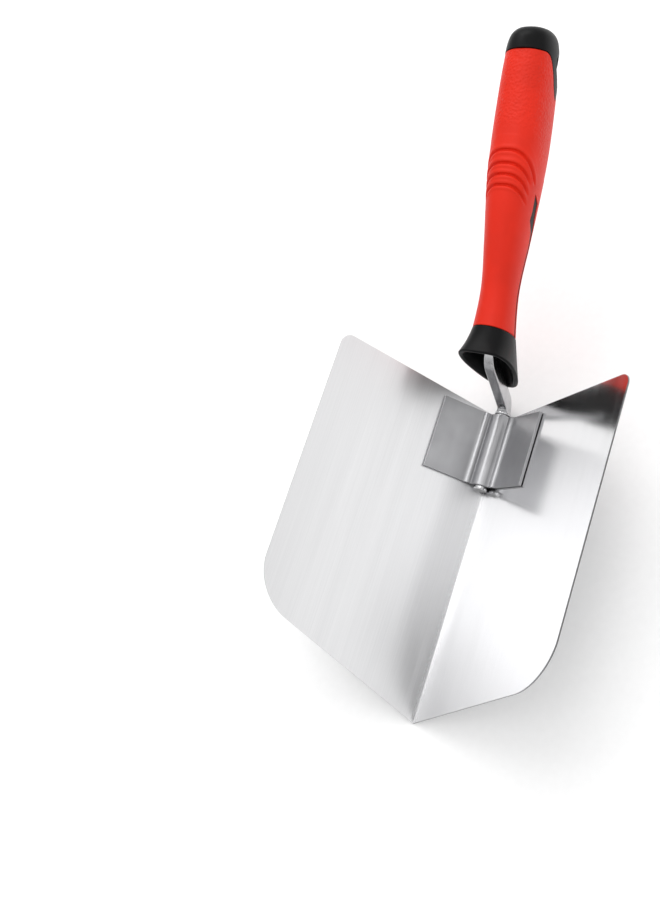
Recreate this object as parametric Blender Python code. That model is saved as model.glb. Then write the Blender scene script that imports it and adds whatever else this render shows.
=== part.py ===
"""Inside corner trowel: a folded blade, its clamp saddle, a cranked tang and a two-material handle.

Lengths are in millimetres until mesh_object() turns them into metres. The blade frame has +X along
the fold towards the nose, +Y to the left, +Z up out of the hollow side, and its zero at the fold's
rear end. The handle frame has +X along the handle from butt to blade, +Z towards the thumb, and its
zero at the butt.
"""

import math

import bmesh
import bpy
from mathutils import Matrix, Vector

MM = 0.001
GAP = 0.3  # clearance between pieces that touch
ROUND = 2.0  # superellipse exponent of a circle

# Blade
FOLD_LENGTH = 127.0
OPENING_ANGLE = math.radians(94.0)
FLANGE_WIDTH = 77.0
SHEET = 0.6
FOLD_RADIUS = 0.8  # inside the fold
NOSE_SWEEP = 27.0  # how far the outer nose corners lie behind the fold's nose
REAR_SWEEP = 8.5  # how far the outer rear corners lie behind the fold's rear end
NOSE_CORNER = 15.0
REAR_CORNER = 4.5
FLANGE_LINES = (8.0, 24.0, 44.0)  # mesh lines across the flat of each flange, from the fold

# Saddle that holds the tang's pin down in the fold
SADDLE_LENGTH = 30.5
SADDLE_REACH = 28.4  # from the fold along each flange
SADDLE_SHEET = 1.2
SHOULDER_HEIGHT = 8.2
SHOULDER_HALF = 5.0
GROOVE_HALF = 3.9
GROOVE_HEIGHT = 6.9
SHOULDER_FALL = 0.05  # the flat shoulder's slope towards the groove
SADDLE_FILLETS = (0.75, 0.8, 2.6)  # at the groove, the shoulder's inner edge and its outer edge
ARCH_HALF_ANGLE = math.radians(42.0)

# Weld nuggets between the saddle's wings and the flanges
WELD_RADIUS = 2.2
WELD_HEIGHT = 0.16
WELD_STATIONS = (6.0, 15.2, 24.4)
WELD_ALONG_FLANGE = 20.5

# Tang: pin, collar, flat neck and tail, forged from one rod
PIN_RADIUS = 2.75
PIN_STICKS_OUT = 1.6
COLLAR_RADIUS = 3.3
COLLAR_START = 0.8  # behind the fold's rear end, clear of the swept flanges
COLLAR_LENGTH = 1.2
NECK_WIDTH = 4.2
NECK_DEPTH = 6.6
NECK_ANGLE = math.radians(78.0)  # above the fold line, leaning back
NECK_LENGTH = 32.0
HEEL_RADIUS = 4.4
CRANK_RADIUS = 8.0
TAIL_LENGTH = 62.0
TAIL_END_SCALE = 0.55
TANG_SQUARENESS = 7.0  # superellipse exponent of the neck and tail
PIN_CHAMFER = 0.4
COLLAR_CHAMFER = 0.25
HEEL_WAIST = 0.45  # how much narrower the heel starts than the collar
HEEL_SQUARES_OVER = 4.0  # steps of the heel's bend

# Handle
HANDLE_ANGLE = math.radians(26.5)  # above the fold line
CRANK_STATION = 119.0  # where the neck's line meets the handle's axis
GRIP_SHELL = 2.2
CORE_START = 24.8
SOCKET_END = 51.0
ROUNDNESS = 2.25  # superellipse exponent of the handle's section
# station, half width, reach to the thumb side, reach to the underside
HANDLE_SECTIONS = (
    (0.0, 3.2, 4.6, 3.0),
    (1.2, 6.4, 9.0, 6.6),
    (4.5, 8.4, 11.7, 9.4),
    (12.0, 9.2, 12.6, 12.0),
    (25.0, 9.8, 13.0, 13.8),
    (43.0, 9.9, 13.6, 14.2),
    (59.0, 9.0, 13.3, 13.5),
    (75.0, 7.8, 11.1, 11.7),
    (92.0, 6.8, 9.2, 8.6),
    (106.0, 7.6, 10.8, 8.3),
    (116.0, 8.9, 13.6, 9.4),
)
# The cap's seam, as height over the section's reach, and station
CAP_SEAM = (
    (-1.0, 17.5),
    (-0.8, 18.2),
    (-0.6, 18.8),
    (-0.42, 21.0),
    (-0.24, 24.2),
    (-0.02, 21.1),
    (0.12, 16.5),
    (0.247, 13.2),
    (0.36, 10.6),
    (0.54, 9.3),
    (1.0, 9.0),
)
CAP_DOME = (0.0, 0.35, 1.2, 2.6, 4.5, 7.0)  # stations of the rings round the butt
CAP_GAP = 0.5  # along the handle, so that the seam's steep runs stay open too
BOLSTER_SEAM_STATION = 109.0
BOLSTER_SEAM_SLOPE = 0.3

# Bolster
MOUTH_TOP = (115.2, 15.0)  # station and height of the rim's thumb edge
MOUTH_BOTTOM = (130.4, -21.8)
MOUTH_TOP_HALF = 9.6
MOUTH_BOTTOM_HALF = 6.0
MOUTH_SQUARENESS = 3.2  # superellipse exponent of the rim
RIM = 1.7
UNDER_RIM = 1.6  # the rim's width under the neck, over its width elsewhere
RIM_ROUNDING = 0.35  # of the rim's width
RIM_CROWN = 0.35
THUMB_FLARE = 0.75  # how much later the thumb side flares than the rest
BOLSTER_RINGS = 9

# Hang hole through the cap
HOLE_STATION = 12.8
HOLE_HEIGHT = -5.4
HOLE_WIDTH = 5.8
HOLE_LENGTH = 10.0
HOLE_TILT = math.radians(-38.0)
HOLE_CUT = (-20.0, 20.0)

# Side stripes, as outlines of station and height seen from the side
STRIPE_OUTLINE = (
    (57.0, 2.0),
    (63.0, 1.5),
    (66.5, 2.0),
    (70.5, -1.6),
    (74.5, -2.6),
    (81.5, -1.9),
    (94.0, -0.5),
    (126.0, -0.2),
    (126.0, -1.7),
    (94.0, -2.3),
    (81.5, -4.1),
    (74.5, -5.2),
    (69.5, -5.0),
    (65.5, -3.2),
    (60.0, -2.6),
)

STRIPE_CUT = (2.0, 30.0)  # from and to this far sideways of the handle's middle

SMOOTH_ANGLE = math.radians(40.0)  # edges that bend more than this stay crisp
SHEET_SMOOTH_ANGLE = math.radians(30.0)
RING_POINTS = 64
SEAM_ROUNDS = 6  # passes that settle a surface point onto the slanted seam


# ---------------------------------------------------------------- helpers


def steel(name, colour, roughness):
    return material(name, colour, roughness, 1.0)


def material(name, colour, roughness, metallic=0.0):
    made = bpy.data.materials.new(name)
    made.use_nodes = True
    shader = made.node_tree.nodes["Principled BSDF"]
    shader.inputs["Base Color"].default_value = (*colour, 1.0)
    shader.inputs["Roughness"].default_value = roughness
    shader.inputs["Metallic"].default_value = metallic
    made.diffuse_color = (*colour, 1.0)
    return made


def clear_scene():
    for thing in list(bpy.data.objects):
        bpy.data.objects.remove(thing, do_unlink=True)


def empty(name, parent=None):
    made = bpy.data.objects.new(name, None)
    made.parent = parent
    bpy.context.scene.collection.objects.link(made)
    return made


def mesh_object(name, points, faces, finish, parent, smooth_angle=SMOOTH_ANGLE):
    """Make one object from points in millimetres, with its faces turned outwards."""
    mesh = bpy.data.meshes.new(name)
    body = bmesh.new()
    corners = [body.verts.new(Vector(point) * MM) for point in points]
    for face in faces:
        body.faces.new([corners[index] for index in face])
    bmesh.ops.remove_doubles(body, verts=body.verts, dist=0.00001)
    bmesh.ops.recalc_face_normals(body, faces=body.faces)
    body.to_mesh(mesh)
    body.free()
    mesh.shade_smooth()
    mesh.set_sharp_from_angle(angle=smooth_angle)
    mesh.materials.append(finish)
    made = bpy.data.objects.new(name, mesh)
    made.parent = parent
    bpy.context.scene.collection.objects.link(made)
    return made


def ring_faces(rings, count, closed_ends=True, loop=False):
    """Quads between neighbouring rings of count points, with flat ends or joined into a loop."""
    faces = []
    spans = rings if loop else rings - 1
    for ring in range(spans):
        first = ring * count
        second = ((ring + 1) % rings) * count
        for point in range(count):
            after = (point + 1) % count
            faces.append((first + point, first + after, second + after, second + point))
    if closed_ends and not loop:
        faces.append(tuple(range(count))[::-1])
        faces.append(tuple((rings - 1) * count + point for point in range(count)))
    return faces


def loft(name, rings, finish, parent, closed_ends=True, loop=False, smooth_angle=SMOOTH_ANGLE):
    points = [point for ring in rings for point in ring]
    faces = ring_faces(len(rings), len(rings[0]), closed_ends, loop)
    return mesh_object(name, points, faces, finish, parent, smooth_angle)


def blend(low, high, share):
    return low + (high - low) * share


def smooth_step(share):
    return share * share * (3.0 - 2.0 * share)


def curve_through(rows, at):
    """Read a smooth curve through rows of (position, value, value ...) at one position."""
    if at <= rows[0][0]:
        return rows[0][1:]
    if at >= rows[-1][0]:
        return rows[-1][1:]
    index = max(i for i, row in enumerate(rows[:-1]) if row[0] <= at)
    before = rows[max(index - 1, 0)]
    start = rows[index]
    stop = rows[index + 1]
    after = rows[min(index + 2, len(rows) - 1)]
    span = stop[0] - start[0]
    share = (at - start[0]) / span
    values = []
    for column in range(1, len(start)):
        slope_in = (stop[column] - before[column]) / (stop[0] - before[0])
        slope_out = (after[column] - start[column]) / (after[0] - start[0])
        values.append(
            (2 * share**3 - 3 * share**2 + 1) * start[column]
            + (share**3 - 2 * share**2 + share) * span * slope_in
            + (3 * share**2 - 2 * share**3) * stop[column]
            + (share**3 - share**2) * span * slope_out
        )
    return tuple(values)


def line_through(rows, at):
    """Read straight runs between (position, value) rows at one position."""
    for (low, first), (high, second) in zip(rows[:-1], rows[1:]):
        if at <= high:
            return blend(first, second, max(at - low, 0.0) / (high - low))
    return rows[-1][1]


def signed_power(value, exponent):
    return math.copysign(abs(value) ** exponent, value)


def rounded_path(corners, radii, steps=5):
    """Replace each inner corner of a 2-D path with an arc of its radius."""
    path = [Vector(corners[0])]
    for before, corner, after, radius in zip(corners[:-2], corners[1:-1], corners[2:], radii):
        corner = Vector(corner)
        back = (Vector(before) - corner).normalized()
        ahead = (Vector(after) - corner).normalized()
        half = back.angle(ahead) / 2.0
        reach = radius / math.tan(half)
        centre = corner + (back + ahead).normalized() * (radius / math.sin(half))
        first = corner + back * reach - centre
        last = corner + ahead * reach - centre
        turn = first.angle_signed(last)
        for step in range(steps + 1):
            arm = first.copy()
            arm.rotate(Matrix.Rotation(-turn * step / steps, 2))
            path.append(centre + arm)
    path.append(Vector(corners[-1]))
    return path


def thickened(path, thickness):
    """Both sides of a 2-D path, as one closed outline."""
    over = []
    under = []
    for index, point in enumerate(path):
        along = (path[min(index + 1, len(path) - 1)] - path[max(index - 1, 0)]).normalized()
        side = Vector((-along.y, along.x)) * thickness / 2.0
        over.append(point + side)
        under.append(point - side)
    return over + under[::-1]


# ---------------------------------------------------------------- blade and saddle


HALF_ANGLE = OPENING_ANGLE / 2.0
INNER_APEX = SHEET / math.sin(HALF_ANGLE)  # height where the flanges' inner planes would meet
PIN_HEIGHT = INNER_APEX + (PIN_RADIUS + GAP) / math.sin(HALF_ANGLE)


def flange_point(along, lift, side):
    """A point on a flange's inner face: distance from the fold's inner line, and height off the face."""
    across = math.sin(HALF_ANGLE) * along - math.cos(HALF_ANGLE) * lift
    height = math.cos(HALF_ANGLE) * along + math.sin(HALF_ANGLE) * lift
    return Vector((0.0, side * across, INNER_APEX + height))


def blade_span(across):
    """Rear and nose ends of the sheet at a distance from the fold, with its corners rounded."""
    share = across / FLANGE_WIDTH
    rear = -REAR_SWEEP * share
    nose = FOLD_LENGTH - NOSE_SWEEP * share
    into_nose = across - (FLANGE_WIDTH - NOSE_CORNER)
    into_rear = across - (FLANGE_WIDTH - REAR_CORNER)
    if into_nose > 0.0:
        nose -= NOSE_CORNER - math.sqrt(max(NOSE_CORNER**2 - into_nose**2, 0.0))
    if into_rear > 0.0:
        rear += REAR_CORNER - math.sqrt(max(REAR_CORNER**2 - into_rear**2, 0.0))
    return rear, nose


def flange_stations():
    """Distances from the fold where the flange's outline needs a point."""
    stations = list(FLANGE_LINES) + [FLANGE_WIDTH - NOSE_CORNER]
    steps = 9
    for step in range(1, steps + 1):
        stations.append(FLANGE_WIDTH - NOSE_CORNER * (1.0 - math.sin(math.pi / 2 * step / steps)))
    for step in range(steps):
        stations.append(FLANGE_WIDTH - REAR_CORNER * (1.0 - math.sin(math.pi / 2 * step / steps)))
    return sorted(set(round(station, 4) for station in stations))


def build_blade(finish, parent):
    """One ring of four points for each line along the fold, from the right edge to the left edge."""
    bend = math.pi - OPENING_ANGLE
    outside = FOLD_RADIUS + SHEET
    centre_height = outside / math.sin(HALF_ANGLE)
    start = outside / math.tan(HALF_ANGLE)
    columns = []
    for along in reversed(flange_stations()):
        columns.append((-1, max(along, start), None))
    bend_steps = 8
    for step in range(bend_steps + 1):
        columns.append((0, 0.0, bend * (step / bend_steps - 0.5)))
    for along in flange_stations():
        columns.append((1, max(along, start), None))
    rings = []
    for side, along, turn in columns:
        if turn is None:
            low = Vector((0, side * math.sin(HALF_ANGLE) * along, math.cos(HALF_ANGLE) * along))
            inward = Vector((0, -side * math.cos(HALF_ANGLE), math.sin(HALF_ANGLE)))
            rear, nose = blade_span(along)
        else:
            inward = Vector((0, -math.sin(turn), math.cos(turn)))
            low = Vector((0, 0, centre_height)) - inward * outside
            rear, nose = blade_span(abs(low.y) / math.sin(HALF_ANGLE))
        high = low + inward * SHEET
        rings.append([
            (rear, low.y, low.z),
            (nose, low.y, low.z),
            (nose, high.y, high.z),
            (rear, high.y, high.z),
        ])
    return loft("blade", rings, finish, parent, smooth_angle=SHEET_SMOOTH_ANGLE)


def saddle_path():
    """Middle line of the saddle's sheet, seen along the fold, from the right wing to the left wing."""
    lift = GAP + SADDLE_SHEET / 2.0
    wing_end = flange_point(SADDLE_REACH, lift, 1)
    wing_apex = INNER_APEX + lift / math.sin(HALF_ANGLE)
    shoulder = Vector(((SHOULDER_HEIGHT - wing_apex) * math.tan(HALF_ANGLE), SHOULDER_HEIGHT))
    arch_radius = PIN_RADIUS + GAP + SADDLE_SHEET / 2.0
    arch = []
    steps = 10
    for step in range(steps + 1):
        turn = blend(-ARCH_HALF_ANGLE, ARCH_HALF_ANGLE, step / steps)
        arch.append(Vector((arch_radius * math.sin(turn), PIN_HEIGHT + arch_radius * math.cos(turn))))
    left = rounded_path(
        [
            arch[-1],
            (GROOVE_HALF, GROOVE_HEIGHT),
            (SHOULDER_HALF, SHOULDER_HEIGHT - SHOULDER_FALL),
            shoulder,
            (wing_end.y, wing_end.z),
        ],
        SADDLE_FILLETS,
    )
    right = [Vector((-point.x, point.y)) for point in reversed(left)]
    return right + arch[1:-1] + left


def build_saddle(finish, parent):
    outline = thickened(saddle_path(), SADDLE_SHEET)
    rings = [[(x, point.x, point.y) for point in outline] for x in (0.0, SADDLE_LENGTH)]
    return loft("saddle", rings, finish, parent, smooth_angle=SHEET_SMOOTH_ANGLE)


def build_welds(finish, parent):
    """Nuggets in the gap between wing and flange, with a hair of room on both sides."""
    around = 16
    names = {1: "weld_left", -1: "weld_right"}
    for side, name in names.items():
        for number, station in enumerate(WELD_STATIONS, start=1):
            rings = []
            for lift in (GAP / 2.0 - WELD_HEIGHT / 2.0, GAP / 2.0 + WELD_HEIGHT / 2.0):
                ring = []
                for step in range(around):
                    turn = 2.0 * math.pi * step / around
                    point = flange_point(WELD_ALONG_FLANGE + WELD_RADIUS * math.cos(turn), lift, side)
                    point.x = station + WELD_RADIUS * math.sin(turn)
                    ring.append(point)
                rings.append(ring)
            loft(f"{name}_{number}", rings, finish, parent)


# ---------------------------------------------------------------- tang


def handle_axis():
    """Direction of the handle from butt to blade, and the crank point, in the blade frame."""
    ahead = Vector((math.cos(HANDLE_ANGLE), 0.0, -math.sin(HANDLE_ANGLE)))
    crank = heel_corner() + neck_up() * NECK_LENGTH
    return ahead, crank


def neck_up():
    return Vector((-math.cos(NECK_ANGLE), 0.0, math.sin(NECK_ANGLE)))


def heel_corner():
    """Where the pin's axis meets the neck's middle line, just behind the collar."""
    return Vector((-COLLAR_START - COLLAR_LENGTH - NECK_DEPTH / 2.0, 0.0, PIN_HEIGHT))


def bent_corner(before, corner, after, radius, steps):
    """Points and directions round one bend of a path in the middle plane."""
    back = (before - corner).normalized()
    ahead = (after - corner).normalized()
    half = back.angle(ahead) / 2.0
    reach = radius / math.tan(half)
    centre = corner + (back + ahead).normalized() * (radius / math.sin(half))
    first = corner + back * reach - centre
    turn_axis = (-back).cross(ahead).normalized()
    bend = math.pi - 2.0 * half
    stations = []
    for step in range(steps + 1):
        turned = Matrix.Rotation(bend * step / steps, 3, turn_axis)
        stations.append((centre + turned @ first, turned @ (-back)))
    return stations


def tang_section(point, along, half_width, half_depth, exponent, count=24):
    """A ring across the path, round where the exponent is 2 and square-cornered where it is high."""
    across = Vector((0.0, 1.0, 0.0))
    upward = along.cross(across).normalized()
    ring = []
    for step in range(count):
        turn = 2.0 * math.pi * (step + 0.5) / count
        wide = half_width * signed_power(math.cos(turn), ROUND / exponent)
        deep = half_depth * signed_power(math.sin(turn), ROUND / exponent)
        ring.append(point + across * wide + upward * deep)
    return ring


def build_tang(finish, parent):
    ahead, crank = handle_axis()
    heel = heel_corner()
    tail_end = crank - ahead * TAIL_LENGTH
    nose = Vector((SADDLE_LENGTH + PIN_STICKS_OUT, 0.0, PIN_HEIGHT))
    backwards = Vector((-1.0, 0.0, 0.0))
    collar_end = COLLAR_START + COLLAR_LENGTH
    rings = []
    for behind, radius in (
        (-nose.x, PIN_RADIUS - PIN_CHAMFER),
        (-nose.x + PIN_CHAMFER, PIN_RADIUS),
        (COLLAR_START, PIN_RADIUS),
        (COLLAR_START, COLLAR_RADIUS - COLLAR_CHAMFER),
        (COLLAR_START + COLLAR_CHAMFER, COLLAR_RADIUS),
        (collar_end - COLLAR_CHAMFER, COLLAR_RADIUS),
        (collar_end, COLLAR_RADIUS - COLLAR_CHAMFER),
    ):
        rings.append(tang_section(Vector((-behind, 0.0, PIN_HEIGHT)), backwards, radius, radius, ROUND))
    half_width = NECK_WIDTH / 2.0
    half_depth = NECK_DEPTH / 2.0
    steps = 7
    heel_bend = bent_corner(nose, heel, crank, HEEL_RADIUS, steps)
    for step, (point, along) in enumerate(heel_bend):
        share = min(1.0, (step + 1.0) / HEEL_SQUARES_OVER)
        rings.append(tang_section(
            point,
            along,
            blend(COLLAR_RADIUS - HEEL_WAIST, half_width, share),
            blend(COLLAR_RADIUS - HEEL_WAIST, half_depth, share),
            blend(ROUND, TANG_SQUARENESS, share),
        ))
    for point, along in bent_corner(heel, crank, tail_end, CRANK_RADIUS, steps):
        rings.append(tang_section(point, along, half_width, half_depth, TANG_SQUARENESS))
    end_width = half_width * TAIL_END_SCALE
    end_depth = half_depth * TAIL_END_SCALE
    rings.append(tang_section(tail_end, -ahead, end_width, end_depth, TANG_SQUARENESS))
    return loft("tang", rings, finish, parent)


# ---------------------------------------------------------------- handle


def handle_point(station, turn, inset=0.0):
    """A point on the handle's surface, or under it by inset, at an angle up from the left side."""
    half_width, thumb_reach, under_reach = curve_through(HANDLE_SECTIONS, station)
    wide = signed_power(math.cos(turn), ROUND / ROUNDNESS)
    high = signed_power(math.sin(turn), ROUND / ROUNDNESS)
    reach = thumb_reach if high > 0.0 else under_reach
    return Vector((station, wide * (half_width - inset), high * (reach - inset)))


def turns(count=RING_POINTS):
    return [2.0 * math.pi * step / count for step in range(count)]


def cap_seam(turn):
    return line_through(CAP_SEAM, signed_power(math.sin(turn), ROUND / ROUNDNESS))


def bolster_seam(turn, inset=0.0):
    """Station where the slanted seam plane crosses the surface, or a layer under it, at this angle."""
    station = BOLSTER_SEAM_STATION
    for _ in range(SEAM_ROUNDS):
        station = BOLSTER_SEAM_STATION - BOLSTER_SEAM_SLOPE * handle_point(station, turn, inset).z
    return station


def build_grip_tube(finish, parent):
    """The soft grip before the stripes are cut from it."""
    steps = 26
    outer = []
    for step in range(steps + 1):
        share = step / steps
        outer.append([
            handle_point(blend(cap_seam(turn) + CAP_GAP, bolster_seam(turn) - GAP, share), turn)
            for turn in turns()
        ])
    inner = []
    for step in reversed(range(steps + 1)):
        share = step / steps
        inner.append([
            handle_point(
                blend(cap_seam(turn) + CAP_GAP, bolster_seam(turn, GRIP_SHELL) - GAP, share), turn, GRIP_SHELL
            )
            for turn in turns()
        ])
    return loft("grip", outer + inner, finish, parent, loop=True)


def stripe_prism(name, side, grow, parent):
    """The stripe's side outline drawn out sideways, larger or smaller by grow all round."""
    outline = [Vector(point) for point in STRIPE_OUTLINE]
    moved = []
    for index, point in enumerate(outline):
        before = (point - outline[index - 1]).normalized()
        after = (outline[(index + 1) % len(outline)] - point).normalized()
        normal = Vector((-before.y, before.x)) + Vector((-after.y, after.x))
        moved.append(point + normal.normalized() * grow)
    rings = [[(point.x, side * y, point.y) for point in moved] for y in STRIPE_CUT]
    prism = loft(name, rings, None, parent)
    prism.hide_render = True
    prism.display_type = "WIRE"
    return prism


def boolean(target, cutter, operation):
    cut = target.modifiers.new(cutter.name, "BOOLEAN")
    cut.operation = operation
    cut.object = cutter
    cut.solver = "EXACT"


def build_grip(finish, parent):
    grip = build_grip_tube(finish, parent)
    for side in (-1, 1):
        boolean(grip, stripe_prism(f"stripe_cut_{side + 1}", side, GAP / 2.0, parent), "DIFFERENCE")
    return grip


def build_stripes(finish, parent):
    for side, name in ((1, "stripe_left"), (-1, "stripe_right")):
        stripe = build_grip_tube(finish, parent)
        stripe.name = name
        boolean(stripe, stripe_prism(f"{name}_outline", side, -GAP / 2.0, parent), "INTERSECT")


def build_core(finish, parent):
    """Hard spine under the grip, with the tang's socket open at its blade end."""
    inset = GRIP_SHELL + GAP
    steps = 20
    rings = []
    for step in range(steps + 1):
        share = step / steps
        rings.append([
            handle_point(blend(CORE_START, bolster_seam(turn, inset) - GAP, share), turn, inset)
            for turn in turns()
        ])
    rings.append(socket_ring(None))
    rings.append(socket_ring(SOCKET_END))
    return loft("handle_core", rings, finish, parent)


def socket_ring(station):
    """The tang's slot with its clearance, on the slanted seam or square across at a station."""
    tail_start = CRANK_STATION - TAIL_LENGTH
    ring = []
    for turn in turns():
        wide = signed_power(math.cos(turn), ROUND / TANG_SQUARENESS)
        high = signed_power(math.sin(turn), ROUND / TANG_SQUARENESS)
        if station is None:
            at = BOLSTER_SEAM_STATION - BOLSTER_SEAM_SLOPE * high * NECK_DEPTH / 2.0 - GAP
        else:
            at = station
        scale = blend(TAIL_END_SCALE, 1.0, max(at - tail_start, 0.0) / TAIL_LENGTH)
        ring.append(Vector((
            at,
            wide * (scale * NECK_WIDTH / 2.0 + GAP),
            high * (scale * NECK_DEPTH / 2.0 + GAP),
        )))
    return ring


def build_cap(finish, parent):
    """Domed butt cap: its skirt ends at the seam, and its plug goes on under the grip."""
    inset = GRIP_SHELL + GAP
    rings = []
    for station in CAP_DOME:
        rings.append([handle_point(station, turn) for turn in turns()])
    steps = 6
    for step in range(1, steps + 1):
        rings.append([
            handle_point(blend(CAP_DOME[-1], cap_seam(turn), step / steps), turn) for turn in turns()
        ])
    rings.append([handle_point(cap_seam(turn), turn, inset) for turn in turns()])
    plug_end = CORE_START - GAP
    rings.append([handle_point(max(cap_seam(turn), plug_end), turn, inset) for turn in turns()])
    cap = loft("end_cap", rings, finish, parent)
    boolean(cap, hang_hole(parent), "DIFFERENCE")
    return cap


def hang_hole(parent):
    """Oval cutter across the cap."""
    straight = (HOLE_LENGTH - HOLE_WIDTH) / 2.0
    outline = []
    steps = 16
    for step in range(steps):
        turn = 2.0 * math.pi * (step + 0.5) / steps
        along = math.copysign(straight, math.cos(turn)) + HOLE_WIDTH / 2.0 * math.cos(turn)
        up = HOLE_WIDTH / 2.0 * math.sin(turn)
        outline.append((
            HOLE_STATION + along * math.cos(HOLE_TILT) - up * math.sin(HOLE_TILT),
            HOLE_HEIGHT + along * math.sin(HOLE_TILT) + up * math.cos(HOLE_TILT),
        ))
    rings = [[(station, y, height) for station, height in outline] for y in HOLE_CUT]
    cutter = loft("hang_hole", rings, None, parent)
    cutter.hide_render = True
    cutter.display_type = "WIRE"
    return cutter


# ---------------------------------------------------------------- bolster


def mouth_point(turn, inset=0.0):
    """A point on the bolster's oblique mouth: wide and flat at the thumb edge, narrow at the bottom."""
    wide = signed_power(math.cos(turn), ROUND / MOUTH_SQUARENESS)
    high = signed_power(math.sin(turn), ROUND / MOUTH_SQUARENESS)
    share = (1.0 - high) / 2.0
    slant = Vector((MOUTH_BOTTOM[0] - MOUTH_TOP[0], MOUTH_BOTTOM[1] - MOUTH_TOP[1]))
    length = slant.length
    along = blend(inset, length - inset * UNDER_RIM, share)
    place = Vector(MOUTH_TOP) + slant.normalized() * along
    half = blend(MOUTH_TOP_HALF, MOUTH_BOTTOM_HALF, smooth_step(share)) - inset
    return Vector((place.x, wide * half, place.y))


def bolster_ring(share):
    """Outer rings from the seam to the mouth, with a concave flare."""
    ring = []
    for turn in turns():
        start = handle_point(bolster_seam(turn), turn)
        start.x = bolster_seam(turn)
        stop = mouth_point(turn)
        thumb = max(math.sin(turn), 0.0)
        flare = blend(share, share * share, THUMB_FLARE * thumb)
        point = Vector((
            blend(start.x, stop.x, share),
            blend(start.y, stop.y, flare),
            blend(start.z, stop.z, flare),
        ))
        ring.append(point)
    return ring


def build_bolster(finish, parent):
    """Flared hollow collar that the neck comes out of."""
    rings = [bolster_ring(step / BOLSTER_RINGS) for step in range(BOLSTER_RINGS + 1)]
    crown = Vector((RIM_CROWN, 0.0, 0.0))
    lip_in = [mouth_point(turn, RIM * RIM_ROUNDING) + crown for turn in turns()]
    lip_out = [mouth_point(turn, RIM) for turn in turns()]
    slot = socket_ring(None)
    slot = [point + Vector((GAP, 0.0, 0.0)) for point in slot]
    rings += [lip_in, lip_out]
    steps = 5
    for step in range(1, steps):
        share = smooth_step(step / steps)
        rings.append([stop.lerp(start, share) for stop, start in zip(lip_out, slot)])
    rings.append(slot)
    return loft("bolster", rings, finish, parent, loop=True)


# ---------------------------------------------------------------- assembly


def stand_on_origin(root):
    """Put the middle of the assembly's box over the origin, with the fold resting at height zero."""
    bpy.context.view_layer.update()
    points = []
    for thing in bpy.data.objects:
        if thing.type == "MESH" and not thing.hide_render:
            points += [thing.matrix_world @ vertex.co for vertex in thing.data.vertices]
    along = [point.x for point in points]
    root.location = Vector((-(min(along) + max(along)) / 2.0, 0.0, -min(point.z for point in points)))


def main():
    clear_scene()
    brushed = steel("brushed_stainless", (0.72, 0.72, 0.73), 0.24)
    pressed = steel("pressed_steel", (0.52, 0.52, 0.54), 0.32)
    satin = steel("satin_steel", (0.6, 0.6, 0.62), 0.3)
    black = material("black_polypropylene", (0.016, 0.016, 0.018), 0.5)
    red = material("red_soft_rubber", (0.75, 0.035, 0.018), 0.55)
    stripe = material("grey_polypropylene", (0.03, 0.024, 0.024), 0.45)

    root = empty("trowel")
    build_blade(brushed, root)
    build_saddle(pressed, root)
    build_welds(pressed, root)
    build_tang(satin, root)

    ahead, crank = handle_axis()
    handle = empty("handle", root)
    handle.rotation_euler = (0.0, HANDLE_ANGLE, 0.0)
    handle.location = (crank - ahead * CRANK_STATION) * MM
    build_core(black, handle)
    build_cap(black, handle)
    build_bolster(black, handle)
    build_grip(red, handle)
    build_stripes(stripe, handle)
    stand_on_origin(root)


main()
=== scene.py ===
"""Looks of the inside corner trowel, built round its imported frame.

Profiles are worked out in millimetres in two frames. The blade frame has +X along the fold towards the
nose, +Y to the left and its zero at the fold's rear end. The handle frame has +X along the handle from
butt to blade, +Z towards the thumb and its zero at the butt.
"""

import math

import bmesh
import bpy
import numpy as np
from bpy.props import FloatProperty, FloatVectorProperty, PointerProperty
from mathutils import Matrix, Vector


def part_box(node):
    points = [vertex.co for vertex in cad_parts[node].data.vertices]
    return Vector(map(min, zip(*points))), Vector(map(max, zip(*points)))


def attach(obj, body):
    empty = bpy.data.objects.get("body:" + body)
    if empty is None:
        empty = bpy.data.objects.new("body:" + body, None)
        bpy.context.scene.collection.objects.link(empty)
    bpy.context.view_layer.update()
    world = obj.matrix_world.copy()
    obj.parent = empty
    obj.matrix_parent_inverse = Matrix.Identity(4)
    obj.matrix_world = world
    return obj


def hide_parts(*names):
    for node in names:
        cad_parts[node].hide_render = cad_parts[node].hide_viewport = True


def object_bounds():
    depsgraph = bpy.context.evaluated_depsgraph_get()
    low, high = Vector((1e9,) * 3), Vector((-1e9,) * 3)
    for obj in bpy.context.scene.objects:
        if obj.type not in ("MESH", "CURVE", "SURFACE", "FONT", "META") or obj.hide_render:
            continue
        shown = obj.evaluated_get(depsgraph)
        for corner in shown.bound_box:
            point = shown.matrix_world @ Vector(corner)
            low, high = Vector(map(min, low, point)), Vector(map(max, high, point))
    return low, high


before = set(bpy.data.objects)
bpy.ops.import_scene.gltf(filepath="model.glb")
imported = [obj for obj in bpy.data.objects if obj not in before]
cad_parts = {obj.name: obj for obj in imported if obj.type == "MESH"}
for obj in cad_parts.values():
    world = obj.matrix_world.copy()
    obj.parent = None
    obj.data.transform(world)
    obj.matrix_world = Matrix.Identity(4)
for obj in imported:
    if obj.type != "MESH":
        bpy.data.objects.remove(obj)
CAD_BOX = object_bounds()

bl_info = {
    "name": "Inside Corner Trowel",
    "version": (1, 0, 0),
    "blender": (4, 5, 0),
    "location": "View3D > Sidebar > Trowel",
    "description": "Builds the finished look of an inside corner trowel round its frame",
    "category": "Add Mesh",
}

MM = 0.001
ROUND = 2.0  # superellipse exponent of a circle
BODY = "root"

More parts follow.
